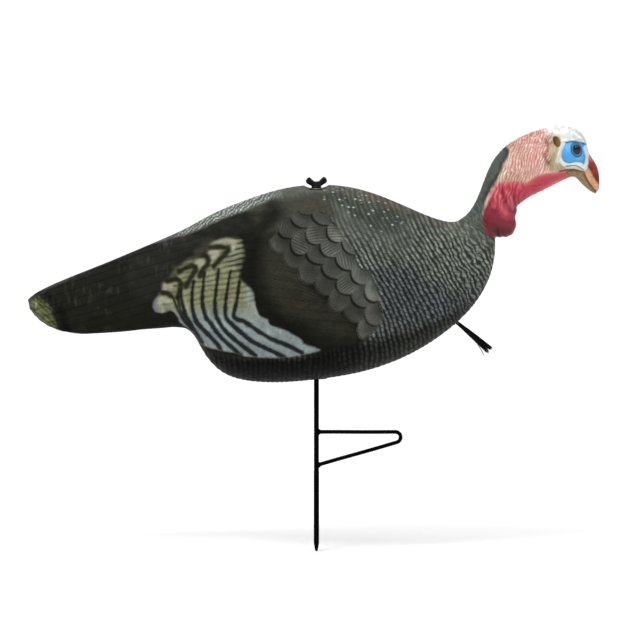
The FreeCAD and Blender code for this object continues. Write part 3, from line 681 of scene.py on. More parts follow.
def body_looks(x, z, across, down, seed):
    """Colour, relief and the numbers that the feather paint reads, for points of the body's skin."""
    f = feather_fields(x, z, across, down, seed)
    colour = np.tile(linear(BREAST_COLOUR), x.shape + (1,))
    zone = paint_body(colour, x, z, f, seed)
    relief = body_relief(x, z, f, zone, seed)
    colour = colour * body_gain(x, z, across, down, f, zone, seed)[..., None]
    warm = ripple(across / 34, down / 34, seed + 91)
    colour = colour * (1 + 0.03 * warm[..., None] * np.array([1, 0.2, -1]))

    # barbs: fine lines that slant over the tail, turn with each covert and lie along the rest
    slant = 3 * f.luck - 1.5
    barb = np.where(zone.wing > 0.5, (f.row_along * np.cos(slant) + f.row_down * np.sin(slant)) / 3.9,
                    (across * 0.35 + down) / 4.4)
    barb = np.where(zone.tail > 0.5, (across * 0.75 + down * 0.9) / 3.4, barb)
    combed = smooth(-0.05, 0.45, ripple(across / 20, down / 20, seed + 95, 1))
    lucky = np.abs(split(f.luck * 5.3) - 0.5)
    streaked = smooth(0.30, 0.42, lucky) * smooth(3, 6, f.depth) * smooth(20, 12, f.depth)
    barb_gain = zone.wing * (0.14 + 0.75 * streaked) + (0.4 * zone.hollow + 0.35 * zone.tail) * combed

    # the ribs calm down at the root of the neck and over the shoulder
    calm = mix(1.0, 0.45, smooth(318, 344, z + 0.35 * (x - 190)) * smooth(120, 190, x))
    calm = calm * mix(1.0, 0.30, smooth(-48, 8, z + 0.3 * (x - 17) - 360) * smooth(160, 95, x))
    # rib_gain sets how strongly the ribs' painted crest highlights and groove shade show
    rib_gain = zone.breast * calm + 0.34 * zone.plain * smooth(0, 30, x)
    # dots: where pale dots of painted highlight sit on the feather tips of the upper back
    dots = zone.upper * (1 - zone.wing) * smooth(2, 16, x) * smooth(140, 100, x)
    # edges: distance to a covert's tip edge, where a dark line of painted shadow falls on the feather below
    fading = smooth(-0.2, 0.7, ripple(x / 17, z / 17, seed + 97, 1))
    edges = np.where(zone.wing > 0.3, np.minimum(f.depth, f.beyond) + fading, 60.0)
    return colour, relief, {
        "barb": barb, "barb_gain": np.clip(barb_gain, 0, 1.4),
        "marks": zone.marks, "dots": dots, "edges": edges,
        "rib_phase": f.rib_phase, "rib_along": f.rib_along, "rib_gain": np.clip(rib_gain, 0, 1),
        "rump_phase": f.rump_phase, "rump_along": f.rump_along,
        "rump_gain": np.clip(0.8 * zone.rim_highlight_zone + 0.12 * zone.rump, 0, 1),
    }


# ---------------------------------------------------------------- the body's halves

ROWS, COLUMNS = ((430, 224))
DISH_FLOOR = 395.6
GROMMET_TOP = box_mm("belly_grommet")[1][2]
BEARD_ROOT = np.array((196.2, 0, 209.6))
BEARD_LEAN = math.radians(128.3)
BEARD_AXIS = np.array((math.sin(BEARD_LEAN), 0, math.cos(BEARD_LEAN)))


def opened(grid):
    """The skin with the dish that the bush stands in and the seats of both grommets."""
    x, y, z = grid[..., 0], grid[..., 1], grid[..., 2]
    dish = smooth(18.5, 13.2, np.hypot(x, y * 0.55)) * smooth(17.5, 13.2, np.abs(x)) * (z > 300)
    grid[..., 2] = np.minimum(z, mix(z, DISH_FLOOR, dish))
    seat = smooth(17.5, 14.8, np.hypot(x, y)) * (grid[..., 2] < 200)
    grid[..., 2] = mix(grid[..., 2], GROMMET_TOP, seat)
    offset = grid - BEARD_ROOT
    along = offset @ BEARD_AXIS
    beside = np.linalg.norm(offset - along[..., None] * BEARD_AXIS, axis=-1)
    sunk = smooth(6.2, 4.8, beside) * (np.abs(along) < 12)
    return grid - BEARD_AXIS * (1.3 * sunk)[..., None]


def rimmed(grid):
    """The skin with its tail end closed and its neck turned in to the collar."""
    lip = grid[-1] - NECK_JOINT
    lip = lip - (lip @ NECK_AXIS)[:, None] * NECK_AXIS
    inner = NECK_JOINT + lip * (COLLAR_RADIUS / NECK_RADIUS) - NECK_AXIS * 0.2
    tail_end = grid[:1] * np.array((1, 0, 1))
    return np.concatenate([tail_end, grid, inner[None], inner[None] - NECK_AXIS * 9])


def padded_rows(values):
    """Values for the rows that rimmed() adds: one before the first and two after the last."""
    return np.concatenate([values[:1], values, values[-1:], values[-1:]])


def body_half(side):
    """side is -1 for the bird's right half and +1 for its left."""
    profile = skin(BODY_SECTIONS, np.linspace(0, 1, 1400), [0.45])[:, 0]
    along = evened(profile, ROWS)
    girth = skin(BODY_SECTIONS, np.linspace(0.3, 0.85, 12), np.linspace(0, 1, 500))
    around = np.mean([evened(row, COLUMNS) for row in girth], axis=0)
    grid = skin(BODY_SECTIONS, along, around)
    normal = grid_normals(grid)
    x, z = grid[..., 0].copy(), grid[..., 2].copy()

    # the skin's own coordinates: down its cross-sections, and along its length
    y = grid[..., 1].copy()
    arc = running(np.hypot(np.diff(y, axis=1), np.diff(z, axis=1)), 1)
    middle = COLUMNS // 2
    down = z[:, middle:middle + 1] - (arc - arc[:, middle:middle + 1])
    run = running(np.hypot(np.diff(x, axis=0), np.diff(y, axis=0)), 0)
    across = run - run[np.argmin(np.abs(x), axis=0), np.arange(COLUMNS)][None, :]
    colour, relief, looks = body_looks(x, z - DRAWN_TILT * y, across, down, 100 if side < 0 else 500)

    # relief fades out at the parting line and the neck
    fade = smooth(0, 4, y) * smooth(-0.5, -8, (grid - NECK_JOINT) @ NECK_AXIS)
    grid = opened(grid + normal * (relief * fade)[..., None])
    grid[:, [0, -1], 1] = 0
    grid = rimmed(grid)

    faces = grid_faces(len(grid), COLUMNS)
    if side > 0:
        faces = [face[::-1] for face in faces]
    hand = "right" if side < 0 else "left"
    vertices = grid.reshape(-1, 3) * np.array((1, side, 1))
    piece = new_object(f"body_half_{hand}", vertices, faces, "decoy_body")
    set_colour(piece.data, "paint", padded_rows(colour))
    for key, values in looks.items():
        set_number(piece.data, key, padded_rows(values))
    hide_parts(f"body_shell_{hand}")
    return piece


# ---------------------------------------------------------------- materials

class Finish:
    """A procedural material under construction."""

    def __init__(self, name):
        self.material = bpy.data.materials.new(name)
        self.material.use_nodes = True
        self.tree = self.material.node_tree
        self.tree.nodes.clear()
        self.shader = self.node("ShaderNodeBsdfPrincipled")
        output = self.node("ShaderNodeOutputMaterial")
        self.tree.links.new(self.shader.outputs["BSDF"], output.inputs["Surface"])

    def node(self, kind, **settings):
        made = self.tree.nodes.new(kind)
        for key, value in settings.items():
            setattr(made, key, value)
        return made

    def put(self, socket, value):
        """A number, a colour or another node's output into a socket."""
        if isinstance(value, bpy.types.NodeSocket):
            self.tree.links.new(value, socket)
        else:
            socket.default_value = value

    def attribute(self, name, output="Fac"):
        return self.node("ShaderNodeAttribute", attribute_name=name).outputs[output]

    def place(self):
        return self.node("ShaderNodeTexCoord").outputs["Object"]

    def noise(self, scale, detail=4.0, rough=0.55):
        made = self.node("ShaderNodeTexNoise")
        keys = ("Vector", "Scale", "Detail", "Roughness")
        for key, value in zip(keys, (self.place(), scale, detail, rough)):
            self.put(made.inputs[key], value)
        return made.outputs["Fac"]

    def math(self, operation, a, b=0.0, clamp=False):
        made = self.node("ShaderNodeMath", operation=operation, use_clamp=clamp)
        self.put(made.inputs[0], a)
        self.put(made.inputs[1], b)
        return made.outputs[0]

    def times(self, *values):
        return functools.reduce(lambda a, b: self.math("MULTIPLY", a, b), values)

    def plus(self, *values):
        return functools.reduce(lambda a, b: self.math("ADD", a, b), values)

    def span(self, value, low, high, to_low, to_high):
        made = self.node("ShaderNodeMapRange", clamp=True)
        keys = ("Value", "From Min", "From Max", "To Min", "To Max")
        for key, number in zip(keys, (value, low, high, to_low, to_high)):
            self.put(made.inputs[key], number)
        return made.outputs[0]

    def blend(self, share, a, b, kind="MIX"):
        made = self.node("ShaderNodeMix", data_type="RGBA", blend_type=kind, clamp_factor=True)
        self.put(made.inputs[0], share)
        for socket, value in ((made.inputs[6], a), (made.inputs[7], b)):
            if not isinstance(value, bpy.types.NodeSocket) and len(value) == 3:
                value = (*value, 1.0)
            self.put(socket, value)
        return made.outputs[2]

    def shaded(self, colour, level):
        """A colour made lighter or darker by a number."""
        return self.blend(1.0, colour, self.grey(level), "MULTIPLY")

    def grey(self, value):
        made = self.node("ShaderNodeCombineColor")
        for socket in made.inputs[:3]:
            self.put(socket, value)
        return made.outputs[0]

    def bump(self, height, strength, distance):
        made = self.node("ShaderNodeBump")
        for key, value in zip(("Height", "Strength", "Distance"), (height, strength, distance)):
            self.put(made.inputs[key], value)
        return made.outputs["Normal"]

    def surface(self, **values):
        for key, value in values.items():
            self.put(self.shader.inputs[key.replace("_", " ")], value)


def colour3(screen):
    return tuple(float(c) for c in linear(screen))


def feather_ribs(made, prefix):
    """Rows of short feathers from a row number and a place along the row: 1 on a crest."""
    phase = made.attribute(prefix + "_phase")
    row = made.math("FLOOR", made.plus(phase, 0.5))
    shuffle = made.node("ShaderNodeTexWhiteNoise", noise_dimensions="1D")
    made.put(shuffle.inputs["W"], row)
    place = made.plus(made.attribute(prefix + "_along"), made.times(shuffle.outputs["Value"], 7.0))
    part = made.math("FLOOR", place)
    inner = made.math("SUBTRACT", place, part)
    pair = made.node("ShaderNodeCombineXYZ")
    made.put(pair.inputs["X"], row)
    made.put(pair.inputs["Y"], part)
    cell = made.node("ShaderNodeTexWhiteNoise", noise_dimensions="2D")
    made.put(cell.inputs["Vector"], pair.outputs[0])
    luck = cell.outputs["Value"]
    shift = made.times(made.math("SUBTRACT", luck, 0.5), 0.26)
    wave = made.math("COSINE", made.times(made.plus(made.math("SUBTRACT", phase, row), shift), 2 * math.pi))
    crest = made.math("POWER", made.math("ADD", made.times(wave, 0.5), 0.5, clamp=True), 1.15)
    ends = made.times(made.span(inner, 0.0, 0.24, 0.36, 1.0), made.span(inner, 0.72, 1.0, 1.0, 0.4))
    return made.times(crest, ends, made.span(luck, 0.0, 1.0, 0.62, 1.12))


def feather_paint():
    """Matt airbrushed paint on blow-moulded plastic: vertex paint, ribs with painted highlights on their
    crests and painted shade in their grooves, barb lines, bars, painted shadow lines at the coverts' edges
    and dots of painted highlight.
    """
    made = Finish("feather_paint")
    speck = made.span(made.noise(700, 3), 0.35, 0.7, 0.78, 1.25)
    cloud = made.span(made.noise(60, 5), 0.3, 0.7, 0.92, 1.08)
    paint = made.shaded(made.attribute("paint", "Color"), made.times(speck, cloud))
    # painted light on the ribs: each crest gets a speckled painted highlight and each groove painted shade
    crest_highlight_speckle = made.span(made.noise(420, 2), 0.42, 0.72, 0.75, 1.7)
    raised = []
    for prefix, low, high in (("rib", 0.22, 2.35), ("rump", 0.30, 2.2)):
        crest = feather_ribs(made, prefix)
        gain = made.attribute(prefix + "_gain")
        shade = made.plus(made.times(crest, crest_highlight_speckle, high), low)
        paint = made.shaded(paint, made.plus(made.times(made.math("SUBTRACT", shade, 1.0), gain), 1.0))
        raised.append(made.times(crest, gain))
    barb = made.math("SINE", made.times(made.attribute("barb"), 2 * math.pi))
    barb = made.times(barb, made.attribute("barb_gain"), 0.5)
    paint = made.shaded(paint, made.plus(barb, 1.0))
    ragged = made.plus(made.attribute("marks"), made.span(made.noise(260, 3), 0.3, 0.7, -0.5, 0.5))
    paint = made.blend(made.span(ragged, -1.6, 1.3, 0.96, 0.0), paint, colour3((13, 17, 14)))
    # painted shadow: a dark line at each covert's tip edge, on the feather beneath it
    rim = made.span(made.attribute("edges"), 0.7, 3.2, 0.92, 0.0)
    paint = made.blend(rim, paint, colour3((9, 9, 8)))
    # painted highlights: small pale dots on the feather tips of the upper back
    cells = made.node("ShaderNodeTexVoronoi", feature="F1")
    for key, value in (("Vector", made.place()), ("Scale", 104.0), ("Randomness", 0.85)):
        made.put(cells.inputs[key], value)
    spot = made.times(made.span(cells.outputs["Distance"], 0.11, 0.27, 1.0, 0.0), made.attribute("dots"))
    paint = made.blend(made.times(spot, 0.8), paint, colour3((168, 176, 168)))
    made.surface(
        Base_Color=paint,
        Roughness=made.span(made.noise(90, 4), 0.3, 0.7, 0.50, 0.66),
        Normal=made.bump(made.plus(barb, made.times(made.noise(900, 2), 0.35), *raised), 0.6, 0.0006),
        Specular_IOR_Level=0.035,
    )
    return made.material


FEATHERS = feather_paint()
for side in (-1, 1):
    half = body_half(side)
    half.data.materials.append(FEATHERS)


# ---------------------------------------------------------------- head

HIND_NECK = area(
    (152, 311), (173, 350), (201, 384), (221, 409), (229, 437), (243, 461), (258, 465), (268, 454),
    (270, 447), (264, 434), (257, 420), (249, 405), (241, 389), (237, 381), (235, 370), (233, 361),
    (239, 350), (240, 336), (246, 311),
)
CROWN = area(
    (320, 479), (330, 496), (355, 504), (397, 493), (394, 448), (380, 448), (373, 462), (359, 466),
    (347, 462), (341, 470), (327, 472),
)
PINK = area(
    (257, 462), (285, 487), (320, 498), (335, 493), (330, 472), (324, 451), (327, 430), (313, 414),
    (292, 406), (271, 400), (254, 406), (249, 392), (243, 381), (242, 395), (251, 430),
)
CHEEK = area(
    (327, 479), (344, 473), (344, 462), (341, 437), (362, 423), (349, 419), (327, 423), (321, 437),
    (324, 451),
)
STREAK = line((320, 465), (323, 454), (319, 441), (324, 433))
EAR = (335.7, 462.7)
BLUE = area(
    (349, 461), (345, 455), (342, 447), (343, 439), (347, 434), (354, 432), (362, 434), (370, 433),
    (374, 431), (376, 440), (375, 447), (373, 454), (375, 459), (366, 462), (358, 463),
)
BROW = line((349, 461), (358, 463), (366, 462), (376, 459))
EYE_BAG = area(
    (342, 441), (345, 435), (351, 433), (362, 434), (372, 435), (374, 442), (373, 452), (376, 458),
    (382, 451), (380, 440), (380, 433), (378, 425), (373, 422), (366, 426), (355, 427), (345, 428),
    (340, 435),
)
LID_LINE = line((349, 428), (358, 429), (365, 428), (373, 423))
PALE_STREAK = line((343, 477), (342, 462), (337, 435))
LIP = line((349, 426), (358, 426), (366, 425), (372, 421))
MOUTH = line(
    (340, 421), (352, 423), (362, 423), (369, 421), (374, 420), (376, 415), (380, 407), (390, 394),
    (394, 391),
)
JAW = area(
    (349, 421), (362, 423), (373, 419), (380, 407), (388, 396), (394, 391), (396, 385), (383, 384),
    (373, 398), (359, 412), (352, 416),
)
BEAK = area(
    (377, 426), (380, 430), (387, 427), (393, 413), (397, 403), (397, 386), (393, 391), (385, 400),
    (380, 407), (376, 415), (375, 420),
)
SNOOD = area(
    (378, 440), (383, 444), (393, 434), (398, 423), (401, 407), (396, 402), (390, 409), (380, 427),
    (377, 431),
)
NOSTRIL = (381.5, 427.5)
# Dark lines of painted shade in the wattle's creases.
WATTLE_CREASES = (
    line((246, 381), (249, 367), (254, 357), (264, 350), (277, 350)),
    line((258, 395), (268, 371), (277, 361)),
    line((275, 386), (277, 374), (282, 364)),
)
# Light lines of painted highlight on the wattle's folds.
WATTLE_LIGHTS = (
    line((253, 396), (249, 385), (248, 372)),
    line((267, 393), (271, 381), (275, 370)),
    line((256, 386), (258, 372), (264, 363)),
)
THROAT = area(
    (368, 419), (355, 421), (320, 417), (306, 413), (293, 405), (274, 403), (257, 402), (250, 393),
    (242, 384), (233, 356), (237, 339), (246, 321), (274, 319), (291, 346), (288, 374), (320, 395),
    (344, 409), (366, 412),
)
EYE = np.array((364.2, 0, 453.0))


def gathered(shapes):
    """Several (points, faces) shapes as one."""
    faces = []
    start = 0
    for points, part_faces in shapes:
        faces += [[index + start for index in face] for face in part_faces]
        start += len(points)
    return np.vstack([points for points, part_faces in shapes]), faces


def lump(centre, radii, rings=24, sides=36, tilt=0.0):
    """A closed ellipsoid; tilt leans its long axis in the side view, in degrees."""
    angle = np.linspace(0, math.pi, rings)
    turn = np.linspace(0, 2 * math.pi, sides, endpoint=False)
    ring, around = np.meshgrid(angle, turn, indexing="ij")
    out = np.sin(ring)
    points = np.stack([out * np.cos(around), out * np.sin(around), np.cos(ring)], axis=-1) * radii
    lean = math.radians(tilt)
    x, z = points[..., 0].copy(), points[..., 2].copy()
    points[..., 0] = x * math.cos(lean) + z * math.sin(lean)
    points[..., 2] = -x * math.sin(lean) + z * math.cos(lean)
    return points.reshape(-1, 3) + centre, [face[::-1] for face in grid_faces(rings, sides, closed=True)]


def tube(rings):
    """A closed skin over a stack of rings, with its ends capped."""
    count, sides = rings.shape[:2]
    points = rings.reshape(-1, 3)
    faces = grid_faces(count, sides, closed=True)
    ends = np.array([rings[0].mean(axis=0), rings[-1].mean(axis=0)])
    base = count * sides
    for j in range(sides):
        faces.append([base, (j + 1) % sides, j])
        last = (count - 1) * sides
        faces.append([base + 1, last + j, last + (j + 1) % sides])
    return np.vstack([points, ends]), faces


def head_solid():
    """The head as one closed skin: neck and skull, wattle, brows, eye mounds and beak."""
    profile = skin(HEAD_SECTIONS, np.linspace(0, 1, 600), [0.5])[:, 0]
    half = skin(HEAD_SECTIONS, evened(profile, 150), np.linspace(0, 1, 41))
    mirror = half[:, -2:0:-1] * np.array((1, -1, 1))
    rings = np.concatenate([half, mirror], axis=1)
    rings = np.concatenate([rings[:1] - NECK_AXIS * 8, rings])
    shapes = [
        tube(rings),
        lump((257.0, 0, 353.0), (21.3, 19.0, 24.3), 40, 60),
        lump((262.5, 0, 347.0), (17.2, 16.6, 18.0), 40, 60),
        lump((265.0, 0, 366.0), (15.2, 15.0, 17.0), 40, 60),
        lump((248.0, 0, 372.0), (17.0, 19.0, 20.0), 30, 40, 12),
        lump((380.5, 0, 430.5), (4.6, 6.4, 12.0), 24, 32, -32),
    ]
    for side in (-1, 1):
        shapes += [
            lump((361.0, side * 13.0, 449.5), (15.5, 6.8, 12.8), 30, 40, 8),
            lump((361.0, side * 12.2, 461.5), (14.5, 5.5, 4.2), 24, 32, -4),
            lump((338.0, side * 14.5, 440.0), (15.0, 6.0, 19.0), 24, 32, 10),
            lump((357.0, side * 12.6, 430.5), (15.0, 4.8, 4.4), 24, 32, 6),
        ]
    points, faces = gathered(shapes)
    mesh = bpy.data.meshes.new("head_blank")
    mesh.from_pydata((points * MM).tolist(), [], faces)
    blank = bpy.data.objects.new("head_blank", mesh)
    bpy.context.collection.objects.link(blank)
    remesh = blank.modifiers.new("remesh", "REMESH")
    remesh.mode = "VOXEL"
    remesh.voxel_size = 0.75 * MM
    ease = blank.modifiers.new("ease", "SMOOTH")
    ease.iterations = 10
    ease.factor = 0.5
    made = bpy.data.meshes.new_from_object(blank.evaluated_get(bpy.context.evaluated_depsgraph_get()))
    bpy.data.objects.remove(blank)
    bpy.data.meshes.remove(mesh)
    return made


def trimmed(mesh):
    """Cut the skin at the neck joint and turn its rim in to meet the plug."""
    work = bmesh.new()
    work.from_mesh(mesh)
    level = Vector((NECK_JOINT + NECK_AXIS * NECK_GAP) * MM)
    across = Vector(NECK_AXIS)
    everything = work.verts[:] + work.edges[:] + work.faces[:]
    bmesh.ops.bisect_plane(work, geom=everything, plane_co=level, plane_no=across, clear_inner=True)
    rim = [edge for edge in work.edges if edge.is_boundary]
    for radius, depth in NECK_RIM:
        grown = bmesh.ops.extrude_edge_only(work, edges=rim)["geom"]
        rim = [item for item in grown if isinstance(item, bmesh.types.BMEdge)]
        for corner in {v for edge in rim for v in edge.verts}:
            offset = corner.co - level
            offset -= across * offset.dot(across)
            corner.co = level + offset.normalized() * radius * MM + across * depth * MM
    bmesh.ops.recalc_face_normals(work, faces=work.faces[:])
    work.to_mesh(mesh)
    work.free()
    return mesh


def mesh_points(mesh):
    points = np.empty(len(mesh.vertices) * 3, np.float32)
    mesh.vertices.foreach_get("co", points)
    return points.reshape(-1, 3).astype(float) / MM


def paint_neck(colour, x, y, z, side, wander):
    """Pink skin, the cheek, the crown and the dark stripe down the hind neck."""
    pink = spray(colour, x, z, PINK, (222, 178, 166), 4, wander)
    blush = smooth(-0.1, 0.6, ripple(x / 18 + side, z / 16, 12))
    tint(colour, (214, 128, 124), blush * pink * 0.38)
    cream = smooth(-0.1, 0.5, ripple(x / 13 + side, z / 20, 11))
    tint(colour, (188, 156, 138), cream * pink * smooth(425, 385, z) * 0.9)
    cheek = spray(colour, x, z, CHEEK, (186, 172, 142), 4, wander)
    tint(colour, (142, 124, 82), cheek * smooth(0.0, 0.4, ripple(x / 7, z / 9, 13)) * 0.45)
    tint(colour, (164, 146, 118), cheek * smooth(436, 424, z) * 0.6)
    patchy = wander + 2.2 * ripple(x / 5, z / 5 + y / 5, 35, 2)
    crown = spray(colour, x, z, CROWN, (224, 230, 226), 6.0, patchy)
    tan = smooth(-0.5, 0.4, ripple(x / 9 + side, z / 9, 29, 2)) * pink * smooth(306, 272, x)
    tint(colour, (178, 150, 120), tan * 0.62)
    dusk = smooth(478, 490, z) * smooth(316, 328, x) * smooth(376, 350, x)
    dusk = dusk * smooth(-0.3, 0.4, ripple(x / 3.4, z / 3 + y / 3.4, 33, 2))
    tint(colour, (150, 128, 124), dusk * 0.9)
    stroke(colour, x, z, PALE_STREAK, (230, 228, 214), 2.0, 2.6, 0.8)

    hind_depth = area_depth(HIND_NECK, x, z) + wander
    stripe = smooth(-2.4, 2.4, hind_depth + 1.3 * ripple(x / 4, z / 6, 36, 2))
    fringe = ring_at(hind_depth, -4.5, 3.0) * smooth(372, 392, z) * smooth(446, 430, z)
    tint(colour, (226, 206, 186), fringe * 0.6)
    stripe_edge = smooth(9, 1, hind_depth + wander) * smooth(372, 392, z)
    hind = mix(linear((72, 81, 73)), linear((33, 38, 34)), stripe_edge[..., None])
    colour[:] = mix(colour, hind, stripe[..., None])
    return pink, cheek, crown, stripe


def paint_throat(colour, x, z, wander):
    """The red throat and the wattle's bag, with painted shade at the bag's bottom, at its back and in its
    creases, and painted highlights on its middle and its folds.
    """
    inner = area_depth(THROAT, x, z) + wander * 0.6
    soft_edge = mix(-2.6, -8.0, smooth(296, 276, x) * smooth(384, 396, z))
    throat = smooth(soft_edge, 2.6, inner)
    tint(colour, (178, 58, 74), throat)
    bag = throat * smooth(388, 366, z) * smooth(306, 290, x)
    tint(colour, (138, 36, 52), bag * 0.9)
    tint(colour, (204, 98, 106), throat * smooth(9, 0, inner) * smooth(376, 396, z) * 0.6)
    # painted shade on the wattle's bag: darker at its bottom and towards its back
    tint(colour, (76, 20, 28), bag * smooth(362, 336, z + 0.35 * (x - 258)) * 0.9)
    tint(colour, (116, 32, 44), bag * smooth(256, 238, x) * smooth(392, 362, z) * 0.7)
    # painted highlight on the middle of the wattle
    tint(colour, (196, 84, 98), throat * near(x, z, (266, 368), 130, 240) * 0.55)
    # painted shade in the wattle's creases, then painted highlight streaks on its folds
    for drawn in WATTLE_CREASES:
        stroke(colour, x, z, drawn, (96, 24, 38), 0.4, 4.8, 0.5)
    for drawn in WATTLE_LIGHTS:
        stroke(colour, x, z, drawn, (214, 108, 118), 0.4, 5.0, 0.55)
    stroke(colour, x, z, STREAK, (158, 62, 62), 1.8, 2.4, 0.8)
    return throat


def paint_beak(colour, x, z, fine):
    """Both halves of the beak and the snood over it."""
    jaw = spray(colour, x, z, JAW, (148, 122, 86), 1.6)
    tint(colour, (84, 64, 36), jaw * smooth(3.4, 0, area_depth(JAW, x, z)) * 0.8)
    beak = spray(colour, x, z, BEAK, (214, 162, 126), 1.4)
    snood = spray(colour, x, z, SNOOD, (146, 50, 42), 1.8, fine * 0.6)
    mottled = snood * smooth(-0.1, 0.5, ripple(x / 5, z / 5, 34, 2) + 0.02 * (418 - z))
    tint(colour, (88, 40, 26), mottled * 0.7)
    tint(colour, (198, 122, 120), snood * smooth(432, 440, z) * 0.9)
    spray(colour, x, z, EYE_BAG, (216, 226, 227), 1.4)
    past_x, past_z = x - NOSTRIL[0], z - NOSTRIL[1]
    nostril = np.hypot(past_x / 2.6, (past_z + 0.8 * past_x) / 1.5)
    tint(colour, (84, 46, 30), smooth(1.3, 0.6, nostril) * 0.85)
    stained = np.clip((beak + jaw) * smooth(0.2, 0.9, ripple(x / 5, z / 9, 28, 2)), 0, 1)
    tint(colour, (122, 78, 44), stained * 0.5)
    stroke(colour, x, z, LIP, (206, 196, 176), 1.3, 1.2, 0.9)
    return jaw, beak, snood


def paint_eye(colour, x, z):
    """Blue skin round the eye, its lids, the brow, the crease below it and the mouth line."""
    blue_depth = area_depth(BLUE, x, z)
    blue = smooth(-1.0, 1.4, blue_depth)
    tint(colour, (196, 220, 226), smooth(-7, -1.5, blue_depth) * smooth(446, 456, z) * 0.8)
    tint(colour, (76, 156, 224), blue)
    tint(colour, (118, 190, 240), blue * near(x, z, (352, 455), 50, 50) * 0.9)
    tint(colour, (100, 180, 216), blue * near(x, z, (367, 438), 34, 34) * 0.8)
    tint(colour, (66, 132, 168), blue * smooth(4.5, 0.5, blue_depth) * smooth(448, 438, z) * 0.8)
    eye = np.hypot((x - 363.2 + 0.14 * (z - 451)) / 7.4, (z - 451.2) / 9.6)
    socket = smooth(1.12, 0.96, eye) * smooth(0.2, 0.8, blue)
    tint(colour, (78, 128, 168), socket * 0.9)
    tint(colour, (24, 66, 108), ring_at(eye, 1.0, 0.11) * 0.95 * blue)
    tint(colour, (20, 34, 44), smooth(0.80, 0.66, eye) * 0.9)
    brow, crease, mouth = (line_distance(drawn, x, z) for drawn in (BROW, LID_LINE, MOUTH))
    tint(colour, (62, 104, 122), smooth(2.0, 0.4, brow) * 0.85)
    tint(colour, (104, 112, 98), smooth(1.6, 0.4, crease) * 0.8)
    tint(colour, (92, 54, 38), smooth(1.7, 0.4, mouth) * 0.85)
    lids = (0.9 * ring_at(eye, 0.86, 0.10) - 0.7 * ring_at(eye, 1.10, 0.09)) * smooth(0.2, 0.5, blue)
    cuts = 0.9 * smooth(1.7, 0.3, brow) + 0.8 * smooth(1.5, 0.3, mouth) + 0.5 * smooth(1.4, 0.3, crease)
    return blue, lids - cuts


def paint_ear(colour, x, z):
    past_x, past_z = x - EAR[0], z - EAR[1]
    ear = np.hypot((past_x + 0.25 * past_z) / 5.0, past_z / 7.8)
    in_ear = smooth(1.14, 0.84, ear)
    brown = mix(linear((78, 46, 14)), linear((140, 90, 28)), smooth(-0.7, 0.7, past_x / 5)[..., None])
    tint(brown, (58, 36, 12), smooth(0.62, 1.0, ear) * 0.8)
    colour[:] = mix(colour, brown, in_ear[..., None])
    return in_ear, 0.5 * smooth(0.35, 0.0, np.abs(ear - 1.12)) - 1.5 * in_ear


def head_looks(x, y, z):
    """Paint and relief for points of the head's skin, the same on both sides."""
    side = np.sign(y) * 31
    colour = np.tile(linear((214, 178, 160)), x.shape + (1,))
    wander = ripple(x / 14 + side, z / 14, 7) * 1.5
    fine = ripple(x / 3 + side, z / 3, 8)
    pink, cheek, crown, stripe = paint_neck(colour, x, y, z, side, wander)
    throat = paint_throat(colour, x, z, wander)
    jaw, beak, snood = paint_beak(colour, x, z, fine)
    blue, eye_relief = paint_eye(colour, x, z)
    in_ear, ear_relief = paint_ear(colour, x, z)

    # loose skin: broken wavy folds down the neck, pebbles on the crown
    sway = ripple(x / 9 + side, z / 11, 14, 2) * 4.2
    folds = feather_rows((x - 0.26 * z + sway) / 3.9, z + 0.3 * x + 0.6 * sway, 9, 15)
    folds = folds * mix(0.45, 1.25, noise(x / 5 + side, z / 6, 16))
    neck_rows = feather_rows((x - 0.15 * z + 1.1 * sway) / 6.4, z, 22, 24)
    bag_rows = feather_rows((x + 0.1 * z + sway) / 8.5, z, 30, 19)
    hind_ribs = feather_rows((x + 0.55 * z) / 7.0 + 0.3 * sway, z, 14, 22)
    pebbles = noise(x / 3.4 + side, z / 2.8, 17) * noise(y / 3.2, z / 3.6 + side, 18) * 2.2
    bare = (1 - stripe) * (1 - throat) * (1 - in_ear) * (1 - 0.8 * crown)
    fold_zone = np.clip(pink + 0.36 * cheek, 0, 1) * bare
    neck_folds = throat * smooth(356, 384, z) * smooth(300, 280, x)
    bag_folds = throat * smooth(384, 366, z) * smooth(300, 280, x)
    fore_throat = throat * smooth(288, 300, x)
    crown_zone = smooth(446, 462, z) * (1 - blue) * (1 - in_ear)

    relief = fold_zone * (folds - 0.45) * 0.95
    relief += neck_folds * (neck_rows - 0.45) * 0.9
    relief += bag_folds * (bag_rows - 0.5) * 0.8
    relief += bag_folds * 0.5 * ripple(x / 10, z / 10, 25, 2)
    relief += crown_zone * (pebbles - 0.4) * 0.9
    relief += fore_throat * 0.5 * ripple(x / 7, z / 3, 20, 2)
    relief += stripe * (hind_ribs - 0.4) * 0.35
    relief += eye_relief + ear_relief

    ridge = mix(0.93, 0.64 + 0.44 * folds, fold_zone)
    ridge = ridge * mix(1.0, 0.70 + 0.50 * neck_rows, neck_folds)
    ridge = ridge * mix(1.0, 0.6 + 0.7 * hind_ribs, stripe * smooth(430, 360, z))
    ridge = ridge * mix(1.0, 0.76 + 0.36 * pebbles, crown_zone * (1 - stripe))
    ridge = ridge * (1 + 0.18 * fore_throat * ripple(x / 9, z / 2.6, 26, 2))
    ridge = ridge * (1 + 0.16 * stripe * ripple(x / 5, z / 5, 27, 2)) * (1 + 0.06 * fine)
    redder = mix(1.0, 0.72 + 0.68 * folds, fold_zone) * mix(1.0, 0.62 + 0.72 * neck_rows, neck_folds)
    hue = np.stack([np.ones_like(x), redder, redder], axis=-1)
    colour = np.clip(colour * hue * ridge[..., None], 0, 0.93)
    return colour, relief, np.clip(jaw + beak, 0, 1), np.clip(blue + snood + throat, 0, 1)


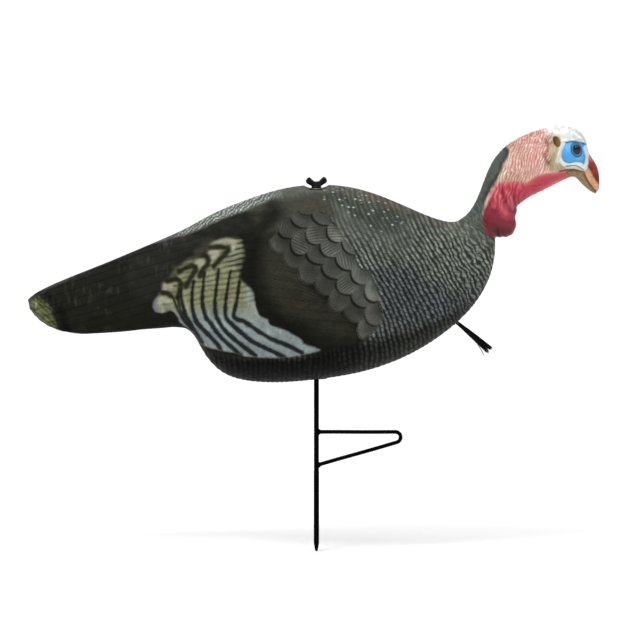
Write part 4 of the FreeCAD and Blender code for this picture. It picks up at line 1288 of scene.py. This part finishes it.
def head_piece():
    mesh = trimmed(head_solid())
    mesh.name = "head_skin"
    points = mesh_points(mesh)
    mesh.update()
    normals = np.empty(len(mesh.vertices) * 3, np.float32)
    mesh.vertices.foreach_get("normal", normals)
    normals = normals.reshape(-1, 3)
    seen_z = points[:, 2] - DRAWN_TILT * np.abs(points[:, 1])
    colour, relief, beaked, glossy = head_looks(points[:, 0], points[:, 1], seen_z)
    height = (points - NECK_JOINT) @ NECK_AXIS
    relief = relief * smooth(1.0, 6.0, height)
    points = points + normals * relief[:, None]
    mesh.vertices.foreach_set("co", (points * MM).ravel())
    mesh.polygons.foreach_set("use_smooth", [True] * len(mesh.polygons))
    mesh.update()
    piece = bpy.data.objects.new("head_skin", mesh)
    bpy.context.collection.objects.link(piece)
    set_colour(mesh, "paint", colour)
    set_number(mesh, "beak", beaked)
    set_number(mesh, "gloss", glossy)
    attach(piece, "head")
    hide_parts("head_shell")
    near_eye = np.linalg.norm((points - EYE) * np.array((1, 0, 1)), axis=1) < 2.0
    return piece, np.abs(points[near_eye, 1]).max()


def eye_piece(side, level):
    """A domed glass eye let into the skin; level is how far out the skin lies there."""
    points, faces = lump(EYE + np.array((0, side * (level - 1.1), 0)), (5.0, 2.5, 6.2), 40, 64, 8)
    name = "eye_glass_right" if side < 0 else "eye_glass_left"
    piece = new_object(name, points, faces, "head")
    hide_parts("eye_right" if side < 0 else "eye_left")
    return piece


def head_paint():
    """Satin paint on the softer head: vertex paint, fine pores, darker streaks on the beak and glossier
    throat, snood and blue skin.
    """
    made = Finish("head_paint")
    speck = made.span(made.noise(900, 3), 0.3, 0.7, 0.90, 1.08)
    paint = made.shaded(made.attribute("paint", "Color"), speck)
    horn = made.times(made.attribute("beak"), made.span(made.noise(240, 4), 0.45, 0.75, 0.0, 0.55))
    rough = made.span(made.noise(120, 3), 0.3, 0.7, 0.42, 0.56)
    made.surface(
        Base_Color=made.blend(horn, paint, colour3((92, 60, 34))),
        Roughness=made.plus(rough, made.times(made.attribute("gloss"), -0.07)),
        Normal=made.bump(made.noise(1300, 2), 0.35, 0.0004),
        Specular_IOR_Level=0.22,
        Subsurface_Weight=0.06,
        Subsurface_Scale=0.002,
    )
    return made.material


head, eye_level = head_piece()
head.data.materials.append(head_paint())


# ---------------------------------------------------------------- beard

BEARD_LENGTH = 61.5
BRISTLES = 170
GOLDEN_ANGLE = 2.399963
PALE_SHADE = 2.0


def strand(path, radii, sides=5):
    """One bristle: a thin tapering tube along a path."""
    path = np.asarray(path, float)
    ahead = np.gradient(path, axis=0)
    ahead /= np.linalg.norm(ahead, axis=1, keepdims=True)
    first = np.cross(ahead, (0.02, 1.0, 0.05))
    first /= np.linalg.norm(first, axis=1, keepdims=True)
    second = np.cross(ahead, first)
    turn = np.linspace(0, 2 * math.pi, sides, endpoint=False)
    ring = first[:, None] * np.cos(turn)[None, :, None] + second[:, None] * np.sin(turn)[None, :, None]
    points = (path[:, None] + ring * np.asarray(radii)[:, None, None]).reshape(-1, 3)
    faces = grid_faces(len(path), sides, closed=True)
    faces.append(list(range(sides)))
    faces.append(list(range(len(points) - 1, len(points) - sides - 1, -1)))
    return points, faces


def bristle(k, count, across):
    """The k-th bristle; those at the middle are shorter, so the end looks forked."""
    a, b, c, d = (float(hashed(np.array(k), np.array(n), 3)) for n in (1, 2, 3, 4))
    turn = GOLDEN_ANGLE * k
    rank = math.sqrt((k + 0.5) / count)
    fork = math.exp(-((rank * math.cos(turn) - 0.1) / 0.22) ** 2)
    reach = BEARD_LENGTH * (1.0 - 0.10 * c * c - 0.05 * rank * d - 0.09 * fork)
    steps = np.linspace(0, 1, 9)
    root = 2.3 * rank
    spread = 5.6 * rank * (0.85 + 0.3 * a)
    out = root + (spread - root) * steps ** 1.05
    bow = (b - 0.5) * 1.1 * np.sin(math.pi * steps) + (a - 0.5) * 1.3 * steps ** 2
    side = np.cos(turn) * out + bow
    lift = np.sin(turn) * out + (c - 0.5) * 1.2 * steps ** 2
    path = BEARD_ROOT + BEARD_AXIS * (3.0 + (reach - 3.0) * steps)[:, None]
    path = path + across * side[:, None] + np.array((0, 1, 0)) * lift[:, None]
    path[:, 2] -= 2.4 * steps ** 2
    return strand(path, 0.36 * (1 - 0.55 * steps ** 2), 4), d


def stray(k, across):
    """The k-th pale bristle that curls away from the rest."""
    steps = np.linspace(0, 1, 12)
    path = BEARD_ROOT + BEARD_AXIS * (6 + (54.5 - 2 * k) * steps)[:, None]
    path = path + across * (0.8 + 3.6 * steps + (8.6 - 0.5 * k) * steps ** 3)[:, None]
    path[:, 1] -= 2.0 * steps + 0.5 * k
    return strand(path, 0.42 * (1 - 0.3 * steps), 4), PALE_SHADE


def beard_piece():
    """The bristles: stiff strands that leave the plug together and fan out at their ends."""
    across = np.cross((0, 1, 0), BEARD_AXIS)
    made = [bristle(k, BRISTLES, across) for k in range(BRISTLES)] + [stray(k, across) for k in range(3)]
    points, faces = gathered([shape for shape, shade in made])
    piece = new_object("beard_strands", points, faces, "beard")
    set_number(piece.data, "shade", np.concatenate([np.full(len(shape[0]), shade) for shape, shade in made]))
    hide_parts("beard_bristles")
    return piece


def bristle_finish():
    """Black fibre that varies from strand to strand; a shade over 1.2 is a pale stray."""
    made = Finish("bristle_fibre")
    shade = made.attribute("shade")
    base = made.blend(made.span(shade, 0.0, 1.0, 0.0, 1.0), colour3((4, 4, 4)), colour3((17, 16, 15)))
    base = made.blend(made.span(shade, 1.2, 1.8, 0.0, 1.0), base, colour3((150, 148, 146)))
    base = made.shaded(base, made.span(made.noise(500, 4), 0.3, 0.7, 0.7, 1.25))
    rough = made.span(made.noise(300, 2), 0.3, 0.7, 0.42, 0.56)
    made.surface(Base_Color=base, Roughness=rough, Specular_IOR_Level=0.12)
    return made.material


beard_piece().data.materials.append(bristle_finish())


# ---------------------------------------------------------------- stake

def lathe(profile, sides):
    """A skin turned about the vertical: profile is a list of (radius, height)."""
    turn = np.linspace(0, 2 * math.pi, sides, endpoint=False)
    profile = np.asarray(profile, float)
    rings = np.stack([
        profile[:, :1] * np.cos(turn),
        profile[:, :1] * np.sin(turn),
        np.repeat(profile[:, 1:], sides, axis=1),
    ], axis=-1)
    return tube(rings[::-1])


THREAD_PITCH = 1.27
UPPER_WELD = 55.6
LOWER_WELD = 8.6
LOOP_SLOPE = math.radians(16)


def rod_piece():
    """The straight rod: drawn steel with a slight waver, a ground point and a rolled thread."""
    low, high = (corner[2] for corner in box_mm("stake_rod"))
    shape = (
        (low, 0.8), (low + 0.5, 1.45), (low + 1.6, 1.95), (low + 3.5, 2.4), (-101, 3.6),
        (-100, 3.75), (0.9, 3.75), (1.1, 3.5), (371, 3.5), (372, 3.1), (high - 1, 3.1), (high, 2.5),
    )
    levels = np.concatenate([
        (low, low + 0.5, low + 1.6, low + 3.5), np.linspace(-107, -101, 5), np.linspace(-100, 0.9, 60),
        np.linspace(1.1, 371, 190), np.linspace(372, high - 1.0, 200), (high - 0.5, high),
    ])
    radius = np.interp(levels, *zip(*shape))
    sides = 36
    turn = np.linspace(0, 2 * math.pi, sides, endpoint=False)
    r = np.repeat(radius[:, None], sides, axis=1)
    threaded = smooth(372, 373.5, levels)[:, None]
    wave = (levels[:, None] / THREAD_PITCH - turn[None, :] / (2 * math.pi)) % 1.0
    r = r - threaded * 0.38 * (1 - np.abs(2 * wave - 1))
    height, around = np.meshgrid(levels / 9, turn * 1.2, indexing="ij")
    plain = (levels < 370) & (levels > -100)
    r = r + 0.03 * ripple(height, around, 3, 2) * plain[:, None]
    rings = np.stack([r * np.cos(turn), r * np.sin(turn), np.repeat(levels[:, None], sides, axis=1)], axis=-1)
    points, faces = tube(rings[::-1])
    piece = new_object("stake_rod_skin", points, faces, "stake")
    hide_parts("stake_rod")
    return piece


def loop_piece():
    """The welded step loop: one wire out level, round a tight bend and back down to the rod."""
    wire = 2.75
    bend = np.array((110.5, 48.1))
    bend_radius = 7.5
    start = np.array((3.2, UPPER_WELD))
    route = [start + (bend + (0, bend_radius) - start) * t for t in np.linspace(0, 1, 40)]
    for angle in np.linspace(math.pi / 2, LOOP_SLOPE - math.pi / 2, 26)[1:]:
        route.append(bend + bend_radius * np.array((math.cos(angle), math.sin(angle))))
    foot = np.array((2.6, LOWER_WELD + 2.6 * math.tan(LOOP_SLOPE)))
    route += [route[-1] + (foot - route[-1]) * t for t in np.linspace(0, 1, 42)[1:]]
    route = np.array(route)
    path = np.stack([route[:, 0], np.zeros(len(route)), route[:, 1]], axis=1)
    path[:, 2] += 0.12 * np.sin(path[:, 0] / 16)
    points, faces = strand(path, np.full(len(path), wire), 20)
    piece = new_object("step_loop_skin", points, faces, "stake")
    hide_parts("step_loop")
    return piece


def weld_bead(height, lean, sides=44, rows=14):
    """A lumpy collar of overlapping beads round the wire's end."""
    ahead = np.array((math.cos(lean), 0, math.sin(lean)))
    up = np.array((-math.sin(lean), 0, math.cos(lean)))
    out = np.array((0, 1.0, 0))
    turn = np.linspace(0, 2 * math.pi, sides, endpoint=False)
    share = np.linspace(0, 1, rows)
    fading = np.sin(math.pi * np.clip(share * 1.1, 0, 1))
    lumps = 0.34 * np.abs(np.sin(turn * 4.5 + 0.7))[None, :] * fading[:, None]
    r = (4.5 - 1.75 * smooth(0, 1, share) ** 0.8)[:, None] + lumps
    rings = ahead * (2.2 + 4.4 * share)[:, None, None]
    rings = rings + up * (r * np.sin(turn))[..., None] + out * (r * np.cos(turn))[..., None]
    return tube(rings + np.array((0, 0, height)))


def weld_piece():
    """The two fillet welds that hold the loop's ends to the rod."""
    points, faces = gathered([weld_bead(UPPER_WELD, 0.0), weld_bead(LOWER_WELD, LOOP_SLOPE)])
    piece = new_object("weld_beads", points, faces, "stake")
    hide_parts("loop_welds")
    return piece


def black_coat():
    """Black powder coat over steel, orange-peeled, a little dusty and rubbed in patches."""
    made = Finish("black_coat")
    peel = made.noise(520, 3)
    dust = made.span(made.noise(45, 5), 0.52, 0.75, 0.0, 0.35)
    base = made.blend(dust, colour3((3, 3, 3)), colour3((17, 17, 16)))
    rub = made.span(made.noise(170, 6, 0.7), 0.66, 0.74, 0.0, 0.6)
    base = made.blend(rub, base, colour3((26, 25, 24)))
    made.surface(
        Base_Color=base,
        Roughness=made.span(peel, 0.3, 0.7, 0.38, 0.55),
        Normal=made.bump(peel, 0.25, 0.0005),
        Specular_IOR_Level=0.02,
    )
    return made.material


COAT = black_coat()
for piece in (rod_piece(), loop_piece(), weld_piece()):
    piece.data.materials.append(COAT)


# ---------------------------------------------------------------- wing nut

def nut_wing(side, low, high):
    """One upswept rounded wing, as rings from the hub out to its tip."""
    reach = np.linspace(0, 1, 9)
    centre_x = mix(3.0, 15.2, reach) * side
    centre_z = mix(low + 4.6, high - 3.4, reach ** 1.15)
    cap = np.sqrt(np.clip(1 - np.clip((reach - 0.80) / 0.23, 0, 1) ** 2, 0.05, 1))
    tall = mix(3.8, 4.2, reach) * cap
    thick = mix(2.3, 1.8, reach) * np.sqrt(cap)
    slant = mix(0.2, 0.75, reach) * side
    turn = np.linspace(0, 2 * math.pi, 24, endpoint=False)
    return tube(np.stack([
        centre_x[:, None] - (slant * tall)[:, None] * np.sin(turn),
        thick[:, None] * np.cos(turn),
        centre_z[:, None] + tall[:, None] * np.sin(turn),
    ], axis=-1))


def wing_nut_piece():
    """A cast wing nut: a tapered hub and two upswept rounded wings, joined by soft fillets."""
    low, high = (corner[2] for corner in box_mm("wing_nut"))
    hub = ((0.6, low), (7.0, low), (7.0, low + 1.0), (6.4, low + 4.5), (5.6, low + 8.7), (0.6, low + 8.7))
    points, faces = gathered([lathe(hub, 48), nut_wing(-1, low, high), nut_wing(1, low, high)])
    turned = math.radians(28)
    x, y = points[:, 0].copy(), points[:, 1].copy()
    points[:, 0] = x * math.cos(turned) - y * math.sin(turned)
    points[:, 1] = x * math.sin(turned) + y * math.cos(turned)
    piece = new_object("wing_nut_cast", points, faces, "wing_nut")
    remesh = piece.modifiers.new("remesh", "REMESH")
    remesh.mode = "VOXEL"
    remesh.voxel_size = 0.35 * MM
    remesh.use_smooth_shade = True
    ease = piece.modifiers.new("ease", "SMOOTH")
    ease.iterations = 5
    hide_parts("wing_nut")
    return piece


def coated(name, dark, light, rough, bump_size, metallic=0.0, sheen=0.5):
    """A plain moulded or plated part with grain and slight colour change."""
    made = Finish(name)
    cloud = made.span(made.noise(130, 5), 0.3, 0.7, 0.0, 1.0)
    base = made.blend(cloud, colour3(dark), colour3(light))
    grain = made.noise(900, 3)
    made.surface(
        Base_Color=base,
        Roughness=made.span(grain, 0.3, 0.7, rough - 0.06, rough + 0.08),
        Normal=made.bump(grain, 0.4, bump_size),
        Metallic=metallic,
        Specular_IOR_Level=sheen,
    )
    return made.material


def dress(name, material):
    """Give a shown CAD node its material."""
    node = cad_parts[name]
    node.data.materials.clear()
    node.data.materials.append(material)


wing_nut_piece().data.materials.append(coated("nut_coat", (4, 4, 5), (12, 12, 13), 0.36, 0.0003, sheen=0.2))
ZINC = coated("zinc_plate", (168, 170, 172), (205, 207, 208), 0.34, 0.0002, 1.0)
NYLON = coated("black_nylon", (14, 14, 14), (24, 24, 24), 0.5, 0.0003, sheen=0.2)
PLAIN_PAINT = coated("body_underpaint", (60, 63, 58), (78, 81, 75), 0.58, 0.0004)
RUBBER = coated("soft_rubber", (24, 23, 22), (36, 34, 32), 0.62, 0.0004)
HEAD_RUBBER = coated("head_underpaint", (120, 60, 58), (150, 84, 80), 0.5, 0.0003)
for name in ("lock_nut", "support_washer", "captive_washer"):
    dress(name, ZINC)
for name in ("back_bush", "back_plate", "belly_grommet"):
    dress(name, NYLON)
dress("neck_collar", PLAIN_PAINT)
dress("neck_plug", HEAD_RUBBER)
for name in ("beard_grommet", "beard_plug"):
    dress(name, RUBBER)


def eye_finish():
    """A glossy black glass eye with faint dark teal streaks."""
    made = Finish("eye_gloss")
    streaks = made.noise(2600, 4)
    base = made.blend(made.span(streaks, 0.45, 0.7, 0.0, 0.8), colour3((4, 7, 9)), colour3((14, 24, 32)))
    made.surface(
        Base_Color=base,
        Roughness=made.span(streaks, 0.3, 0.7, 0.06, 0.12),
        Specular_IOR_Level=0.2,
        Coat_Weight=0.5,
        Coat_Roughness=0.03,
    )
    return made.material


GLASS = eye_finish()
for side in (-1, 1):
    eye_piece(side, eye_level).data.materials.append(GLASS)


# ---------------------------------------------------------------- studio

def studio():
    """A white floor under a dome that is brightest overhead, and a soft key from the front."""
    world = bpy.data.worlds.new("studio")
    bpy.context.scene.world = world
    world.use_nodes = True
    tree = world.node_tree
    background = tree.nodes["Background"]
    background.inputs["Color"].default_value = (1.0, 1.0, 1.0, 1.0)
    place = tree.nodes.new("ShaderNodeTexCoord")
    split = tree.nodes.new("ShaderNodeSeparateXYZ")
    tree.links.new(place.outputs["Generated"], split.inputs[0])
    dome = tree.nodes.new("ShaderNodeMapRange")
    for key, value in (("From Min", 0.0), ("From Max", 1.0), ("To Min", 0.25), ("To Max", 1.5)):
        dome.inputs[key].default_value = value
    tree.links.new(split.outputs["Z"], dome.inputs["Value"])
    path = tree.nodes.new("ShaderNodeLightPath")
    choose = tree.nodes.new("ShaderNodeMix")
    choose.data_type = "FLOAT"
    tree.links.new(path.outputs["Is Camera Ray"], choose.inputs[0])
    tree.links.new(dome.outputs["Result"], choose.inputs[2])
    choose.inputs[3].default_value = 1.0
    tree.links.new(choose.outputs[0], background.inputs["Strength"])

    ground = bpy.data.meshes.new("floor")
    size = 30.0
    level = -112 * MM
    corners = [(-size, -size, level), (size, -size, level), (size, size, level), (-size, size, level)]
    ground.from_pydata(corners, [], [(0, 1, 2, 3)])
    floor = bpy.data.objects.new("floor", ground)
    bpy.context.collection.objects.link(floor)
    made = Finish("floor_paper")
    paper = made.span(made.noise(3, 2), 0.3, 0.7, 0.0, 1.0)
    white = made.blend(paper, (0.95, 0.95, 0.95), (0.97, 0.97, 0.97))
    made.surface(Base_Color=white, Roughness=0.9, Specular_IOR_Level=0.0)
    floor.data.materials.append(made.material)

    light = bpy.data.lights.new("key", "AREA")
    light.energy = 34
    light.shape = "DISK"
    light.size = 0.9
    key = bpy.data.objects.new("key", light)
    key.location = (-0.9, -1.7, 2.3)
    key.rotation_euler = (Vector((0, 0, 0.25)) - key.location).to_track_quat("-Z", "Y").to_euler()
    bpy.context.collection.objects.link(key)

    distance = 16.0
    view_width = 0.875
    lens = bpy.data.cameras.new("camera")
    lens.sensor_width = 36
    lens.lens = lens.sensor_width * distance / view_width
    lens.clip_end = 80
    camera = bpy.data.objects.new("camera", lens)
    lift = math.radians(4)
    aim = Vector((-5.5, 0, 223.3)) * MM
    camera.location = aim + Vector((0, -distance * math.cos(lift), distance * math.sin(lift)))
    camera.rotation_euler = (aim - camera.location).to_track_quat("-Z", "Y").to_euler()
    bpy.context.collection.objects.link(camera)
    bpy.context.scene.camera = camera
    bpy.context.scene.view_settings.view_transform = "Standard"


studio()
